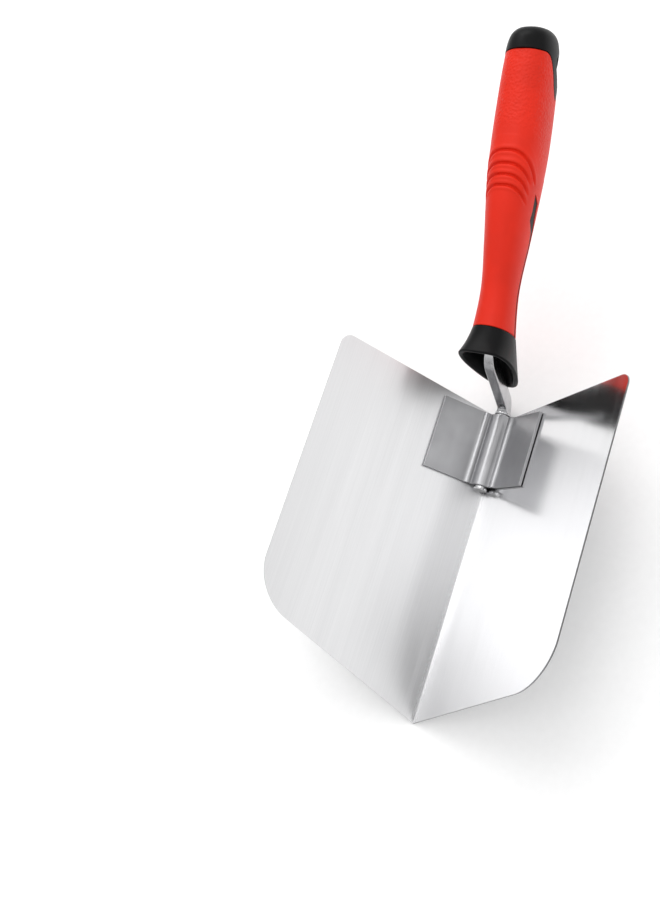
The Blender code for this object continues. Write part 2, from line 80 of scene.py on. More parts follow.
# Blade
FOLD_LENGTH = 127.0
HALF_ANGLE = math.radians(47.0)
FLANGE_WIDTH = 77.0
FLANGE_LINES = (8.0, 24.0, 44.0)  # distances from the fold of the mesh lines on the flat part
SHEET = 0.6
FOLD_RADIUS = 0.06  # the sharpest part of the fold, inside
RUBBED_DULLER = 0.17  # roughness that the right flange has over the left one
RUBBED_EDGE = 3.0  # the change lies within this of the fold
BLADE_BEVEL = (2, 35.0)  # segments, and the least bend in degrees that is rounded
NOSE_SWEEP = 27.0
REAR_SWEEP = 8.5
NOSE_CORNER = 15.0
REAR_CORNER = 4.5
CORNER_STEPS = 24
FOLD_STEPS = 16

# Saddle
GAP = 0.3
SADDLE_LENGTH = 30.5
SADDLE_REACH = 28.4
SADDLE_SHEET = 1.2
SHOULDER_HEIGHT = 8.2
SHOULDER_HALF = 5.0
GROOVE_HALF = 3.9
GROOVE_HEIGHT = 6.9
SHOULDER_FALL = 0.05
SADDLE_FILLETS = (0.75, 0.8, 2.6)
ARCH_HALF_ANGLE = math.radians(42.0)
ARCH_STEPS = 28
SADDLE_BEVEL = (3, 50.0)
FILLET_STEPS = 12

# Tang
PIN_RADIUS = 2.75
PIN_STICKS_OUT = 1.6
COLLAR_RADIUS = 3.3
COLLAR_START = 0.8
COLLAR_LENGTH = 1.2
NECK_WIDTH = 4.2
NECK_DEPTH = 6.6
NECK_ANGLE = math.radians(78.0)
NECK_LENGTH = 32.0
HEEL_RADIUS = 4.4
CRANK_RADIUS = 8.0
TAIL_LENGTH = 62.0
TAIL_END_SCALE = 0.55
TANG_SQUARENESS = 7.0
PIN_CHAMFER = 0.4
COLLAR_CHAMFER = 0.25
HEEL_WAIST = 0.45
HEEL_SQUARES_OVER = 0.5  # share of the heel's bend by which the round rod is square
HEEL_HEAD_START = 4.0  # bend steps' worth of squareness that the rod leaves the collar with
BEND_STEPS = 28
TANG_AROUND = 72

# Handle
HANDLE_ANGLE = math.radians(26.5)
CRANK_STATION = 119.0
ROUNDNESS = 2.25
GRIP_SHELL = 2.2  # thickness of the soft sleeve
PLUG_END = 24.5  # station where the cap's plug stops inside the sleeve
# station, half width, reach to the thumb side, reach to the underside
HANDLE_SECTIONS = (
    (0.0, 3.2, 4.6, 3.0),
    (1.2, 6.4, 9.0, 6.6),
    (4.5, 8.4, 11.7, 9.4),
    (12.0, 9.2, 12.6, 12.0),
    (25.0, 9.8, 13.0, 13.8),
    (43.0, 9.9, 13.6, 14.2),
    (59.0, 9.0, 13.3, 13.5),
    (75.0, 7.8, 11.1, 11.7),
    (92.0, 6.8, 9.2, 8.6),
    (106.0, 7.6, 10.8, 8.3),
    (116.0, 8.9, 13.6, 9.4),
)
# The cap's seam, as height over the section's reach, and station
CAP_SEAM = (
    (-1.0, 17.5),
    (-0.8, 18.2),
    (-0.6, 18.8),
    (-0.42, 21.0),
    (-0.24, 24.2),
    (-0.02, 21.1),
    (0.12, 16.5),
    (0.247, 13.2),
    (0.36, 10.6),
    (0.54, 9.3),
    (1.0, 9.0),
)
BOLSTER_SEAM_STATION = 109.0
BOLSTER_SEAM_SLOPE = 0.3
SEAM_ROUNDS = 6
SEAM_GAP = 0.12  # half the open line between two moulded pieces
LIP = 0.35  # rounding of a moulded edge
LIP_LAST = 0.3  # share of it that the last ring sinks
LIP_NEXT = 0.04  # share of it that the ring before that sinks

# Bolster
MOUTH_TOP = (115.2, 15.0)
MOUTH_BOTTOM = (130.4, -21.8)
MOUTH_TOP_HALF = 9.6
MOUTH_BOTTOM_HALF = 6.0
CHEEK_SWELL = 2.0  # how far the mouth bulges half way down each side
MOUTH_SQUARENESS = 4.2
RIM = 1.7
RIM_CROWN = 0.55
RIM_STEPS = 8
UNDER_RIM = 1.6
THUMB_FLARE = 0.75
CAVITY_FLOOR = 1.2  # height of the hollow's floor over the seam
SLOT_CLEARANCE = 0.2  # to each side of the tang
RIDGE = 0.7  # rise of the soft ridge along the thumb side of the black parts
RIDGE_BLEND = 6.0  # height over which the ridge comes up
SEAM_RIDGE = 0.4  # share of the ridge at the bolster's seam
RIM_RIDGE_LOSS = 0.3  # share of the ridge that the rounding of the rim takes
CAP_RIDGE = 0.7  # share of the ridge on the cap
CAP_RIDGE_RUN = 4.0
CROWN_SHARE = 0.55  # the cap's last flat, over its first ring
CROWN_RISE = 0.12  # how far that flat stands out past the first ring

# Hang hole through the cap
HOLE_STATION = 12.8
HOLE_HEIGHT = -5.4
HOLE_WIDTH = 5.8
HOLE_LENGTH = 10.0
HOLE_TILT = math.radians(-38.0)
HOLE_LIP = 1.1
HOLE_LIP_DEPTH = 0.5
HOLE_SIDE = 2.0  # the lip is pressed only this far out from the middle plane
HOLE_CUT = 20.0  # the cutter's reach to each side
HOLE_AROUND = 48

# Side stripes: station and height of the upper and the lower edge
STRIPE_OUTLINE = (
    (57.0, 2.0),
    (63.0, 1.5),
    (66.5, 2.0),
    (70.5, -1.6),
    (74.5, -2.6),
    (81.5, -1.9),
    (94.0, -0.5),
    (126.0, -0.2),
    (126.0, -1.7),
    (94.0, -2.3),
    (81.5, -4.1),
    (74.5, -5.2),
    (69.5, -5.0),
    (65.5, -3.2),
    (60.0, -2.6),
)
STRIPE_SINK = 0.25  # how far the stripe lies under the grip's surface
STRIPE_CLEARANCE = 0.08  # to each side of the stripe's outline
STRIPE_CUT = (2.0, 30.0)  # the cutters' reach out from the middle plane

# Thumb grooves: station at the thumb line, and how far round the side each one runs
GROOVES = (
    (43.4, math.radians(77.0)),
    (47.9, math.radians(63.0)),
    (51.8, math.radians(62.0)),
    (55.5, math.radians(61.0)),
)
ARC_REACH = 9.5  # how far a groove has run towards the blade at ARC_TURN from the thumb line
ARC_TURN = math.radians(71.0)
ARC_BEND = 2.5
ARC_LIMIT = math.radians(80.0)
GROOVE_POINTS = 400
GROOVE_STEP = 0.15
GROOVE_FADE = 4.0  # length over which a groove's ends run out
GROOVE_BLUNTNESS = 0.8  # 1 is a cosine's hollow, and less is squarer
GROOVE_BANK = 0.2  # rise of the rubber beside a groove, over its depth
GRAIN_EDGE = 38.0  # station at the thumb line of the arc where the leather grain stops
GRAIN_FADE = 7.0
GRAIN_SINK = 0.06  # how far the grained rubber lies under the plain
GRAIN_STEP = 0.6  # width of the step between them

AROUND = 256  # points round a moulded section
# First station, last station and spacing of the grip's rings, which are closer at the grooves
GRIP_ROWS = ((26.0, 37.0, 1.0), (37.0, 68.0, 0.16), (68.0, 103.0, 1.0))
SEAM_CROWDING = 1.5  # how rings close up towards a seam
DOME_STATIONS = (0.0, 0.1, 0.25, 0.45, 0.7, 1.0, 1.4, 1.9, 2.5, 3.2, 4.0, 5.0, 6.0, 7.0)

# The sharpest edge in degrees that is still shaded as a curve, by piece
CREASES = {
    "blade_sheet": 30.0,
    "saddle_plate": 30.0,
    "tang_rod": 40.0,
    "grip_sleeve": 50.0,
    "stripe_left_insert": 30.0,
    "stripe_right_insert": 30.0,
    "butt_cap": 38.0,
    "bolster_collar": 40.0,
}


# ---------------------------------------------------------------- sums


def linear(code):
    """Turn an sRGB hex colour into linear red, green and blue."""
    parts = [int(code[place:place + 2], 16) / 255.0 for place in (0, 2, 4)]
    return tuple(
        part / 12.92 if part <= 0.04045 else ((part + 0.055) / 1.055) ** 2.4 for part in parts
    )


def blend(low, high, share):
    return low + (high - low) * share


def smooth_step(share):
    return share * share * (3.0 - 2.0 * share)


def power(value, exponent):
    """A power that keeps the sign."""
    return np.sign(value) * np.abs(value) ** exponent


def curve_through(rows, at):
    """Read a smooth curve through rows of (position, value, value ...) at one position."""
    if at <= rows[0][0]:
        return rows[0][1:]
    if at >= rows[-1][0]:
        return rows[-1][1:]
    index = max(i for i, row in enumerate(rows[:-1]) if row[0] <= at)
    before = rows[max(index - 1, 0)]
    start = rows[index]
    stop = rows[index + 1]
    after = rows[min(index + 2, len(rows) - 1)]
    span = stop[0] - start[0]
    share = (at - start[0]) / span
    values = []
    for column in range(1, len(start)):
        slope_in = (stop[column] - before[column]) / (stop[0] - before[0])
        slope_out = (after[column] - start[column]) / (after[0] - start[0])
        values.append(
            (2 * share**3 - 3 * share**2 + 1) * start[column]
            + (share**3 - 2 * share**2 + share) * span * slope_in
            + (3 * share**2 - 2 * share**3) * stop[column]
            + (share**3 - share**2) * span * slope_out
        )
    return tuple(values)


SECTION_STATIONS = np.arange(0.0, 130.0, 0.1)
SECTION_TABLE = np.array([curve_through(HANDLE_SECTIONS, at) for at in SECTION_STATIONS])


def section(station):
    """Half width, thumb reach and under reach at an array of stations."""
    return [np.interp(station, SECTION_STATIONS, SECTION_TABLE[:, column]) for column in range(3)]


def turns():
    """The angle of each point round a moulded section."""
    return 2.0 * math.pi * np.arange(AROUND) / AROUND


def skin(station, turn, inset=0.0):
    """Points on the handle's surface, or inset under it, from arrays of stations and turns."""
    station, turn = np.broadcast_arrays(station, turn)
    half_width, thumb_reach, under_reach = section(station)
    wide = power(np.cos(turn), ROUND / ROUNDNESS)
    high = power(np.sin(turn), ROUND / ROUNDNESS)
    reach = np.where(high > 0.0, thumb_reach, under_reach)
    return np.stack([station, wide * (half_width - inset), high * (reach - inset)], axis=-1)


def cap_seam(turn):
    """The seam's station, with its corners eased."""
    heights, stations = zip(*CAP_SEAM)
    seam = np.interp(power(np.sin(turn), ROUND / ROUNDNESS), heights, stations)
    return sum(np.roll(seam, shift) for shift in range(-3, 4)) / 7.0


def bolster_seam(turn, inset=0.0):
    """Station where the slanted seam plane crosses the surface, or a layer under it."""
    station = np.full(len(turn), BOLSTER_SEAM_STATION)
    for _ in range(SEAM_ROUNDS):
        station = BOLSTER_SEAM_STATION - BOLSTER_SEAM_SLOPE * skin(station, turn, inset)[:, 2]
    return station


# ---------------------------------------------------------------- meshes


def finish_mesh(name, mesh, materials, place, node):
    """Link a mesh as a piece that rides on the body and stands for its CAD node."""
    mesh.shade_smooth()
    mesh.set_sharp_from_angle(angle=math.radians(CREASES[name]))
    for material in materials:
        mesh.materials.append(material)
    piece = bpy.data.objects.new(name, mesh)
    bpy.context.scene.collection.objects.link(piece)
    piece.matrix_world = place
    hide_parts(node)
    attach(piece, BODY)
    return piece


def loft_mesh(name, rings, loop=False, pick=None):
    """A closed mesh over rings of points in millimetres, looped or with flat ends.

    pick(ring, point) gives the material index of the face after that ring and point.
    """
    rings = np.asarray(rings, float)
    count, around = rings.shape[:2]
    faces = []
    chosen = []
    for ring in range(count if loop else count - 1):
        first = ring * around
        second = ((ring + 1) % count) * around
        for point in range(around):
            after = (point + 1) % around
            faces.append((first + point, first + after, second + after, second + point))
            chosen.append(pick(ring, point) if pick else 0)
    if not loop:
        faces.append(tuple(range(around))[::-1])
        faces.append(tuple(range((count - 1) * around, count * around)))
        chosen += [pick(-1, 0), pick(-2, 0)] if pick else [0, 0]
    mesh = bpy.data.meshes.new(name)
    mesh.from_pydata([tuple(point) for point in rings.reshape(-1, 3) * MM], [], faces)
    mesh.polygons.foreach_set("material_index", chosen)
    body = bmesh.new()
    body.from_mesh(mesh)
    bmesh.ops.recalc_face_normals(body, faces=body.faces)
    body.to_mesh(mesh)
    body.free()
    return mesh


def bevelled(piece, width, segments, angle):
    """Round the edges that bend by more than an angle in degrees, by a width in millimetres."""
    made = piece.modifiers.new("eased_edges", "BEVEL")
    made.width = width * MM
    made.segments = segments
    made.limit_method = "ANGLE"
    made.angle_limit = math.radians(angle)
    made.harden_normals = True


def cut_mesh(mesh, cutters, operation):
    """Apply Boolean cutters given as meshes in the same frame."""
    target = bpy.data.objects.new("cut_target", mesh)
    bpy.context.scene.collection.objects.link(target)
    tools = []
    for cutter in cutters:
        tool = bpy.data.objects.new("cutter", cutter)
        bpy.context.scene.collection.objects.link(tool)
        tools.append(tool)
        cut = target.modifiers.new("cut", "BOOLEAN")
        cut.operation = operation
        cut.object = tool
        cut.solver = "EXACT"
    ready = target.evaluated_get(bpy.context.evaluated_depsgraph_get())
    made = bpy.data.meshes.new_from_object(ready)
    for thing in [target, *tools]:
        bpy.data.objects.remove(thing, do_unlink=True)
    if not made.polygons:
        raise RuntimeError(f"the cut left nothing of {mesh.name}")
    made.name = mesh.name
    return made


def prism_mesh(name, outline, near, far):
    """A side outline of stations and heights drawn out sideways."""
    rings = [[(station, y, height) for station, height in outline] for y in (near, far)]
    return loft_mesh(name, rings)


def grown(outline, grow):
    """An outline moved outwards by grow, or inwards where it is negative."""
    points = [Vector(point) for point in outline]
    moved = []
    for index, point in enumerate(points):
        before = (point - points[index - 1]).normalized()
        after = (points[(index + 1) % len(points)] - point).normalized()
        normal = Vector((-before.y, before.x)) + Vector((-after.y, after.x))
        moved.append(point + normal.normalized() * grow)
    return moved


def grid_normals(grid):
    """Outward normals of a grid of rings round the handle."""
    along = np.gradient(grid, axis=0)
    around = np.roll(grid, -1, axis=1) - np.roll(grid, 1, axis=1)
    normals = np.cross(around, along)
    normals /= np.maximum(np.linalg.norm(normals, axis=-1, keepdims=True), 1e-9)
    outward = np.sign(np.sum(normals[..., 1:] * grid[..., 1:], axis=-1, keepdims=True))
    return normals * np.where(outward == 0.0, 1.0, outward)


# ---------------------------------------------------------------- frames


def blade_place():
    """The blade frame: its zero is the fold's outer corner at the saddle's rear end."""
    outside = FOLD_RADIUS + SHEET
    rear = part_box("saddle")[0].x
    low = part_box("blade")[0].z - (outside / math.sin(HALF_ANGLE) - outside) * MM
    return Matrix.Translation((rear, 0.0, low))


def neck_up():
    """Direction of the tang's neck."""
    return Vector((-math.cos(NECK_ANGLE), 0.0, math.sin(NECK_ANGLE)))


def heel_corner():
    """Where the pin's line meets the neck's."""
    return Vector((-COLLAR_START - COLLAR_LENGTH - NECK_DEPTH / 2.0, 0.0, PIN_HEIGHT))


def handle_axis():
    """The handle's direction, and the corner where it meets the neck's line."""
    ahead = Vector((math.cos(HANDLE_ANGLE), 0.0, -math.sin(HANDLE_ANGLE)))
    return ahead, heel_corner() + neck_up() * NECK_LENGTH


def handle_place():
    """The handle frame, in metres."""
    ahead, crank = handle_axis()
    zero = (crank - ahead * CRANK_STATION) * MM
    return blade_place() @ Matrix.Translation(zero) @ Matrix.Rotation(HANDLE_ANGLE, 4, "Y")


INNER_APEX = SHEET / math.sin(HALF_ANGLE)
PIN_HEIGHT = INNER_APEX + (PIN_RADIUS + GAP) / math.sin(HALF_ANGLE)


# ---------------------------------------------------------------- materials


def add_node(tree, kind, settings=None, values=None, links=None):
    """Add one node with its settings, the values of its sockets and the links into them."""
    made = tree.nodes.new(kind)
    for name, value in (settings or {}).items():
        setattr(made, name, value)
    for socket, value in (values or {}).items():
        made.inputs[socket].default_value = value
    for socket, source in (links or {}).items():
        tree.links.new(source, made.inputs[socket])
    return made


NOISE_SPREAD = {"From Min": 0.3, "From Max": 0.7}  # most of a noise lies between these


def start_finish(name, constants, patterns):
    """A new material with its constants set and its noise patterns added.

    Each pattern is its spacing in millimetres, its detail, and how far it is drawn out lengthwise.
    """
    made = bpy.data.materials.new(name)
    made.use_nodes = True
    tree = made.node_tree
    shader = tree.nodes["Principled BSDF"]
    for socket, value in constants.items():
        shader.inputs[socket].default_value = value
    where = add_node(tree, "ShaderNodeTexCoord").outputs["Object"]
    sources = {"where": where}
    for label, (spacing, detail, stretch) in patterns.items():
        scale = [1.0 / (spacing * stretch * MM), 1.0 / (spacing * MM), 1.0 / (spacing * MM)]
        mapped = add_node(tree, "ShaderNodeMapping", {}, {"Scale": scale}, {"Vector": where})
        values = {"Scale": 1.0, "Detail": detail, "Roughness": 0.6}
        wave = add_node(tree, "ShaderNodeTexNoise", {}, values, {"Vector": mapped.outputs[0]})
        sources[label] = wave.outputs[0]
    return made, tree, shader, sources


def lay_finish(tree, shader, sources, tone, roughness, relief):
    """Link the patterns to the shader.

    tone is a label and the two linear colours it mixes; roughness is a label and its range; each
    row of relief is a label, its depth in millimetres and its strength.
    """
    label, first, second = tone
    share = add_node(tree, "ShaderNodeMapRange", {}, NOISE_SPREAD, {"Value": sources[label]})
    colours = {6: (*first, 1.0), 7: (*second, 1.0)}
    mix = add_node(tree, "ShaderNodeMix", {"data_type": "RGBA"}, colours, {0: share.outputs[0]})
    tree.links.new(mix.outputs[2], shader.inputs["Base Color"])
    label, low, high = roughness
    values = {**NOISE_SPREAD, "To Min": low, "To Max": high}
    rough = add_node(tree, "ShaderNodeMapRange", {}, values, {"Value": sources[label]})
    tree.links.new(rough.outputs[0], shader.inputs["Roughness"])
    under = {}
    for label, depth, strength in relief:
        values = {"Distance": depth * MM, "Strength": strength}
        raised = add_node(tree, "ShaderNodeBump", {}, values, {"Height": sources[label], **under})
        under = {"Normal": raised.outputs[0]}
    if under:
        tree.links.new(under["Normal"], shader.inputs["Normal"])


def brushed_stainless():
    """Cold rolled stainless sheet, finely brushed along the fold: a soft mirror with barely seen lines.

    The right flange is rubbed duller than the left one.
    """
    # Real lines are about 0.1 mm apart; 0.4 mm is the finest that still shows.
    patterns = {"lines": (0.4, 2.0, 160.0), "broad": (4.0, 2.0, 40.0), "dents": (55.0, 1.0, 1.0)}
    made, tree, shader, sources = start_finish("stainless_sheet_brushed", {"Metallic": 1.0}, patterns)
    relief = [("dents", 0.3, 0.4), ("lines", 0.0008, 0.25)]
    tone = ("lines", linear("E0E0E1"), linear("E5E5E6"))
    lay_finish(tree, shader, sources, tone, ("broad", 0.14, 0.18), relief)
    across = add_node(tree, "ShaderNodeSeparateXYZ", {}, {}, {"Vector": sources["where"]})
    values = {"From Min": -RUBBED_EDGE * MM, "From Max": RUBBED_EDGE * MM}
    values.update({"To Min": RUBBED_DULLER, "To Max": 0.0})
    rubbed = add_node(tree, "ShaderNodeMapRange", {}, values, {"Value": across.outputs["Y"]})
    links = {0: shader.inputs["Roughness"].links[0].from_socket, 1: rubbed.outputs[0]}
    worn = add_node(tree, "ShaderNodeMath", {"operation": "ADD"}, {}, links)
    tree.links.new(worn.outputs[0], shader.inputs["Roughness"])
    return made


def patterned(name, constants, patterns, tone, roughness, relief):
    """A whole material from its patterns and how they show."""
    made, tree, shader, sources = start_finish(name, constants, patterns)
    lay_finish(tree, shader, sources, tone, roughness, relief)
    return made


def sheared_edge():
    """The cut edge of stainless sheet, with its burr wiped off: a thin grey line, grained across."""
    return patterned(
        "stainless_sheared_edge", {"Metallic": 1.0}, {"grain": (0.3, 2.0, 1.0)},
        ("grain", linear("7E7E80"), linear("929294")), ("grain", 0.26, 0.34), [("grain", 0.004, 0.3)],
    )


def pressed_steel():
    """Mild steel plate, pressed and satin nickel plated: darker than the blade, with draw lines."""
    patterns = {"lines": (0.4, 2.0, 60.0), "cloud": (14.0, 2.0, 1.0)}
    return patterned(
        "mild_steel_pressed_nickel", {"Metallic": 1.0}, patterns,
        ("cloud", linear("9C9C9E"), linear("A8A8AA")), ("lines", 0.28, 0.36),
        [("cloud", 0.04, 0.3), ("lines", 0.003, 0.4)],
    )


def forged_steel():
    """Forged rod, tumbled and plated: an even satin with faint hammer unevenness."""
    patterns = {"tumble": (0.35, 2.0, 1.0), "hammer": (5.0, 2.0, 1.0)}
    return patterned(
        "steel_rod_forged_tumbled", {"Metallic": 1.0}, patterns,
        ("hammer", linear("BCBCBE"), linear("D0D0D1")), ("tumble", 0.19, 0.24),
        [("hammer", 0.04, 0.3), ("tumble", 0.0004, 0.3)],
    )


def sawn_steel():
    """The rod's sawn and zinc dusted end: light, matt and grainy."""
    return patterned(
        "steel_rod_sawn_end", {"Metallic": 0.85}, {"grit": (0.45, 4.0, 1.0)},
        ("grit", linear("8C8C8C"), linear("CFCFCF")), ("grit", 0.42, 0.6), [("grit", 0.12, 0.6)],
    )


def red_rubber(colour):
    """Thermoplastic rubber, moulded over the core: satin, with leather grain towards the butt."""
    constants = {"IOR": 1.5, "Specular IOR Level": 0.25}
    # The satin of the plain part is 0.2 mm across, drawn at 0.5 mm so that it shows.
    patterns = {"satin": (0.5, 2.0, 1.0), "cloud": (14.0, 2.0, 1.0)}
    made, tree, shader, sources = start_finish("rubber_tpr_moulded_red", constants, patterns)
    # Leather grain cells are 0.9 mm across.
    mapped = add_node(
        tree, "ShaderNodeMapping", {}, {"Scale": [1.0 / (0.9 * MM)] * 3}, {"Vector": sources["where"]}
    )
    values = {"Scale": 1.0, "Smoothness": 0.6, "Randomness": 0.95}
    links = {"Vector": mapped.outputs[0]}
    cells = add_node(tree, "ShaderNodeTexVoronoi", {"feature": "SMOOTH_F1"}, values, links)
    values = {"From Min": 0.1, "From Max": 0.75, "To Min": 1.0, "To Max": 0.0}
    pebbles = add_node(tree, "ShaderNodeMapRange", {}, values, {"Value": cells.outputs["Distance"]})
    grained = add_node(tree, "ShaderNodeAttribute", {"attribute_name": "grain"})
    links = {0: pebbles.outputs[0], 1: grained.outputs["Fac"]}
    leather = add_node(tree, "ShaderNodeMath", {"operation": "MULTIPLY"}, {}, links)
    sources["leather"] = leather.outputs[0]
    tone = ("cloud", [part * 0.88 for part in colour], colour)
    relief = [("leather", 0.16, 0.9), ("satin", 0.005, 0.35)]
    lay_finish(tree, shader, sources, tone, ("satin", 0.42, 0.54), relief)
    return made


def black_plastic(colour):
    """Polypropylene, moulded in a spark-eroded tool: near black with a faint even sheen."""
    # Spark texture is about 0.15 mm; 0.4 mm is the finest that still shows.
    patterns = {"spark": (0.4, 3.0, 1.0), "wear": (11.0, 3.0, 1.0)}
    return patterned(
        "polypropylene_spark_black", {"IOR": 1.49, "Specular IOR Level": 0.17}, patterns,
        ("wear", colour, [part * 1.7 for part in colour]), ("spark", 0.38, 0.5),
        [("spark", 0.01, 0.4)],
    )


def grey_plastic(colour):
    """Polypropylene insert, moulded: dark warm grey, as matt as the cap."""
    return patterned(
        "polypropylene_insert_grey", {"IOR": 1.49, "Specular IOR Level": 0.1},
        {"spark": (0.4, 3.0, 1.0)}, ("spark", colour, [part * 1.4 for part in colour]),
        ("spark", 0.4, 0.52), [("spark", 0.012, 0.4)],
    )


def pale_board():
    """Seamless studio board: matt white with the faintest tooth."""
    return patterned(
        "board_matt_white", {"Specular IOR Level": 0.1}, {"tooth": (3.0, 2.0, 1.0)},
        ("tooth", linear("F6F6F6"), linear("F8F8F8")), ("tooth", 0.72, 0.78), [],
    )


def black_felt():
    """Felt over a studio card: black and matt with a short nap."""
    return patterned(
        "card_black_felt", {}, {"nap": (2.0, 2.0, 1.0)},
        ("nap", linear("0C0C0C"), linear("161616")), ("nap", 0.86, 0.94), [],
    )


# ---------------------------------------------------------------- blade and saddle


def blade_span(across):
    """The flange's rear and nose ends at a distance from the fold, with its corners rounded."""
    """Rear and nose ends of the sheet at a distance from the fold, with its corners rounded."""
    share = across / FLANGE_WIDTH
    rear = -REAR_SWEEP * share
    nose = FOLD_LENGTH - NOSE_SWEEP * share
    into_nose = across - (FLANGE_WIDTH - NOSE_CORNER)
    into_rear = across - (FLANGE_WIDTH - REAR_CORNER)
    if into_nose > 0.0:
        nose -= NOSE_CORNER - math.sqrt(max(NOSE_CORNER**2 - into_nose**2, 0.0))
    if into_rear > 0.0:
        rear += REAR_CORNER - math.sqrt(max(REAR_CORNER**2 - into_rear**2, 0.0))
    return rear, nose


def flange_stations():
    """Distances from the fold of the lines of the flange's mesh."""
    stations = [*FLANGE_LINES, FLANGE_WIDTH - NOSE_CORNER]
    for corner in (NOSE_CORNER, REAR_CORNER):
        for step in range(1, CORNER_STEPS + 1):
            lean = math.sin(math.pi / 2.0 * step / CORNER_STEPS)
            stations.append(FLANGE_WIDTH - corner * (1.0 - lean))
    stations.append(FLANGE_WIDTH - REAR_CORNER)
    return sorted(set(round(station, 4) for station in stations))


def build_blade(softening):
    """Loft the folded sheet from one flange's edge over the fold to the other's."""
    bend = math.pi - 2.0 * HALF_ANGLE
    outside = FOLD_RADIUS + SHEET
    centre_height = outside / math.sin(HALF_ANGLE)
    start = outside / math.tan(HALF_ANGLE)
    columns = [(-1, max(along, start), None) for along in reversed(flange_stations())]
    columns += [(0, 0.0, bend * (step / FOLD_STEPS - 0.5)) for step in range(FOLD_STEPS + 1)]
    columns += [(1, max(along, start), None) for along in flange_stations()]
    rings = []
    for side, along, turn in columns:
        if turn is None:
            low = Vector((0, side * math.sin(HALF_ANGLE) * along, math.cos(HALF_ANGLE) * along))
            inward = Vector((0, -side * math.cos(HALF_ANGLE), math.sin(HALF_ANGLE)))
            rear, nose = blade_span(along)
        else:
            inward = Vector((0, -math.sin(turn), math.cos(turn)))
            low = Vector((0, 0, centre_height)) - inward * outside
            rear, nose = blade_span(abs(low.y) / math.sin(HALF_ANGLE))
        high = low + inward * SHEET
        rings.append([
            (rear, low.y, low.z),
            (nose, low.y, low.z),
            (nose, high.y, high.z),
            (rear, high.y, high.z),
        ])
    mesh = loft_mesh("blade_sheet", rings, pick=lambda ring, point: int(ring < 0 or point % 2 == 1))
    materials = [brushed_stainless(), sheared_edge()]
    piece = finish_mesh("blade_sheet", mesh, materials, blade_place(), "blade")
    bevelled(piece, softening, *BLADE_BEVEL)


def flange_point(along, lift, side):
    """A point along a flange from the fold, and lifted off its inner face."""
    across = math.sin(HALF_ANGLE) * along - math.cos(HALF_ANGLE) * lift
    height = math.cos(HALF_ANGLE) * along + math.sin(HALF_ANGLE) * lift
    return Vector((0.0, side * across, INNER_APEX + height))


def rounded_path(corners, radii):
    """Replace each inner corner of a 2-D path with an arc of its radius."""
    path = [Vector(corners[0])]
    for before, corner, after, radius in zip(corners[:-2], corners[1:-1], corners[2:], radii):
        corner = Vector(corner)
        back = (Vector(before) - corner).normalized()
        ahead = (Vector(after) - corner).normalized()
        half = back.angle(ahead) / 2.0
        reach = radius / math.tan(half)
        centre = corner + (back + ahead).normalized() * (radius / math.sin(half))
        first = corner + back * reach - centre
        last = corner + ahead * reach - centre
        turn = first.angle_signed(last)
        for step in range(FILLET_STEPS + 1):
            arm = first.copy()
            arm.rotate(Matrix.Rotation(-turn * step / FILLET_STEPS, 2))
            path.append(centre + arm)
    path.append(Vector(corners[-1]))
    return path


def saddle_path():
    """The middle line of the saddle's plate, from the right wing's end over the arch to the left's."""
    lift = GAP + SADDLE_SHEET / 2.0
    wing_end = flange_point(SADDLE_REACH, lift, 1)
    wing_apex = INNER_APEX + lift / math.sin(HALF_ANGLE)
    shoulder = Vector(((SHOULDER_HEIGHT - wing_apex) * math.tan(HALF_ANGLE), SHOULDER_HEIGHT))
    arch_radius = PIN_RADIUS + GAP + SADDLE_SHEET / 2.0
    arch = []
    for step in range(ARCH_STEPS + 1):
        turn = blend(-ARCH_HALF_ANGLE, ARCH_HALF_ANGLE, step / ARCH_STEPS)
        arch.append(Vector((arch_radius * math.sin(turn), PIN_HEIGHT + arch_radius * math.cos(turn))))
    left = rounded_path(
        [
            arch[-1],
            (GROOVE_HALF, GROOVE_HEIGHT),
            (SHOULDER_HALF, SHOULDER_HEIGHT - SHOULDER_FALL),
            shoulder,
            (wing_end.y, wing_end.z),
        ],
        SADDLE_FILLETS,
    )
    right = [Vector((-point.x, point.y)) for point in reversed(left)]
    return right + arch[1:-1] + left


def build_saddle(softening):
    """Give the saddle's line its plate's thickness and draw it out along the fold."""
    path = saddle_path()
    over = []
    under = []
    for index, point in enumerate(path):
        along = (path[min(index + 1, len(path) - 1)] - path[max(index - 1, 0)]).normalized()
        side = Vector((-along.y, along.x)) * SADDLE_SHEET / 2.0
        over.append(point + side)
        under.append(point - side)
    outline = over + under[::-1]
    rings = [[(x, point.x, point.y) for point in outline] for x in (0.0, SADDLE_LENGTH)]
    mesh = loft_mesh("saddle_plate", rings)
    materials = [pressed_steel()]
    piece = finish_mesh("saddle_plate", mesh, materials, blade_place(), "saddle")
    bevelled(piece, softening, *SADDLE_BEVEL)


# ---------------------------------------------------------------- tang


def bent_corner(before, corner, after, radius):
    """Points and directions round one bend of a path in the middle plane."""
    back = (before - corner).normalized()
    ahead = (after - corner).normalized()
    half = back.angle(ahead) / 2.0
    reach = radius / math.tan(half)
    centre = corner + (back + ahead).normalized() * (radius / math.sin(half))
    first = corner + back * reach - centre
    turn_axis = (-back).cross(ahead).normalized()
    bend = math.pi - 2.0 * half
    stations = []
    for step in range(BEND_STEPS + 1):
        turned = Matrix.Rotation(bend * step / BEND_STEPS, 3, turn_axis)
        stations.append((centre + turned @ first, turned @ (-back)))
    return stations


def tang_section(point, along, half_width, half_depth, exponent):
    """One ring of the tang, square across its direction."""
    across = Vector((0.0, 1.0, 0.0))
    upward = along.cross(across).normalized()
    ring = []
    for step in range(TANG_AROUND):
        turn = 2.0 * math.pi * (step + 0.5) / TANG_AROUND
        wide = half_width * float(power(math.cos(turn), ROUND / exponent))
        deep = half_depth * float(power(math.sin(turn), ROUND / exponent))
        ring.append(point + across * wide + upward * deep)
    return ring


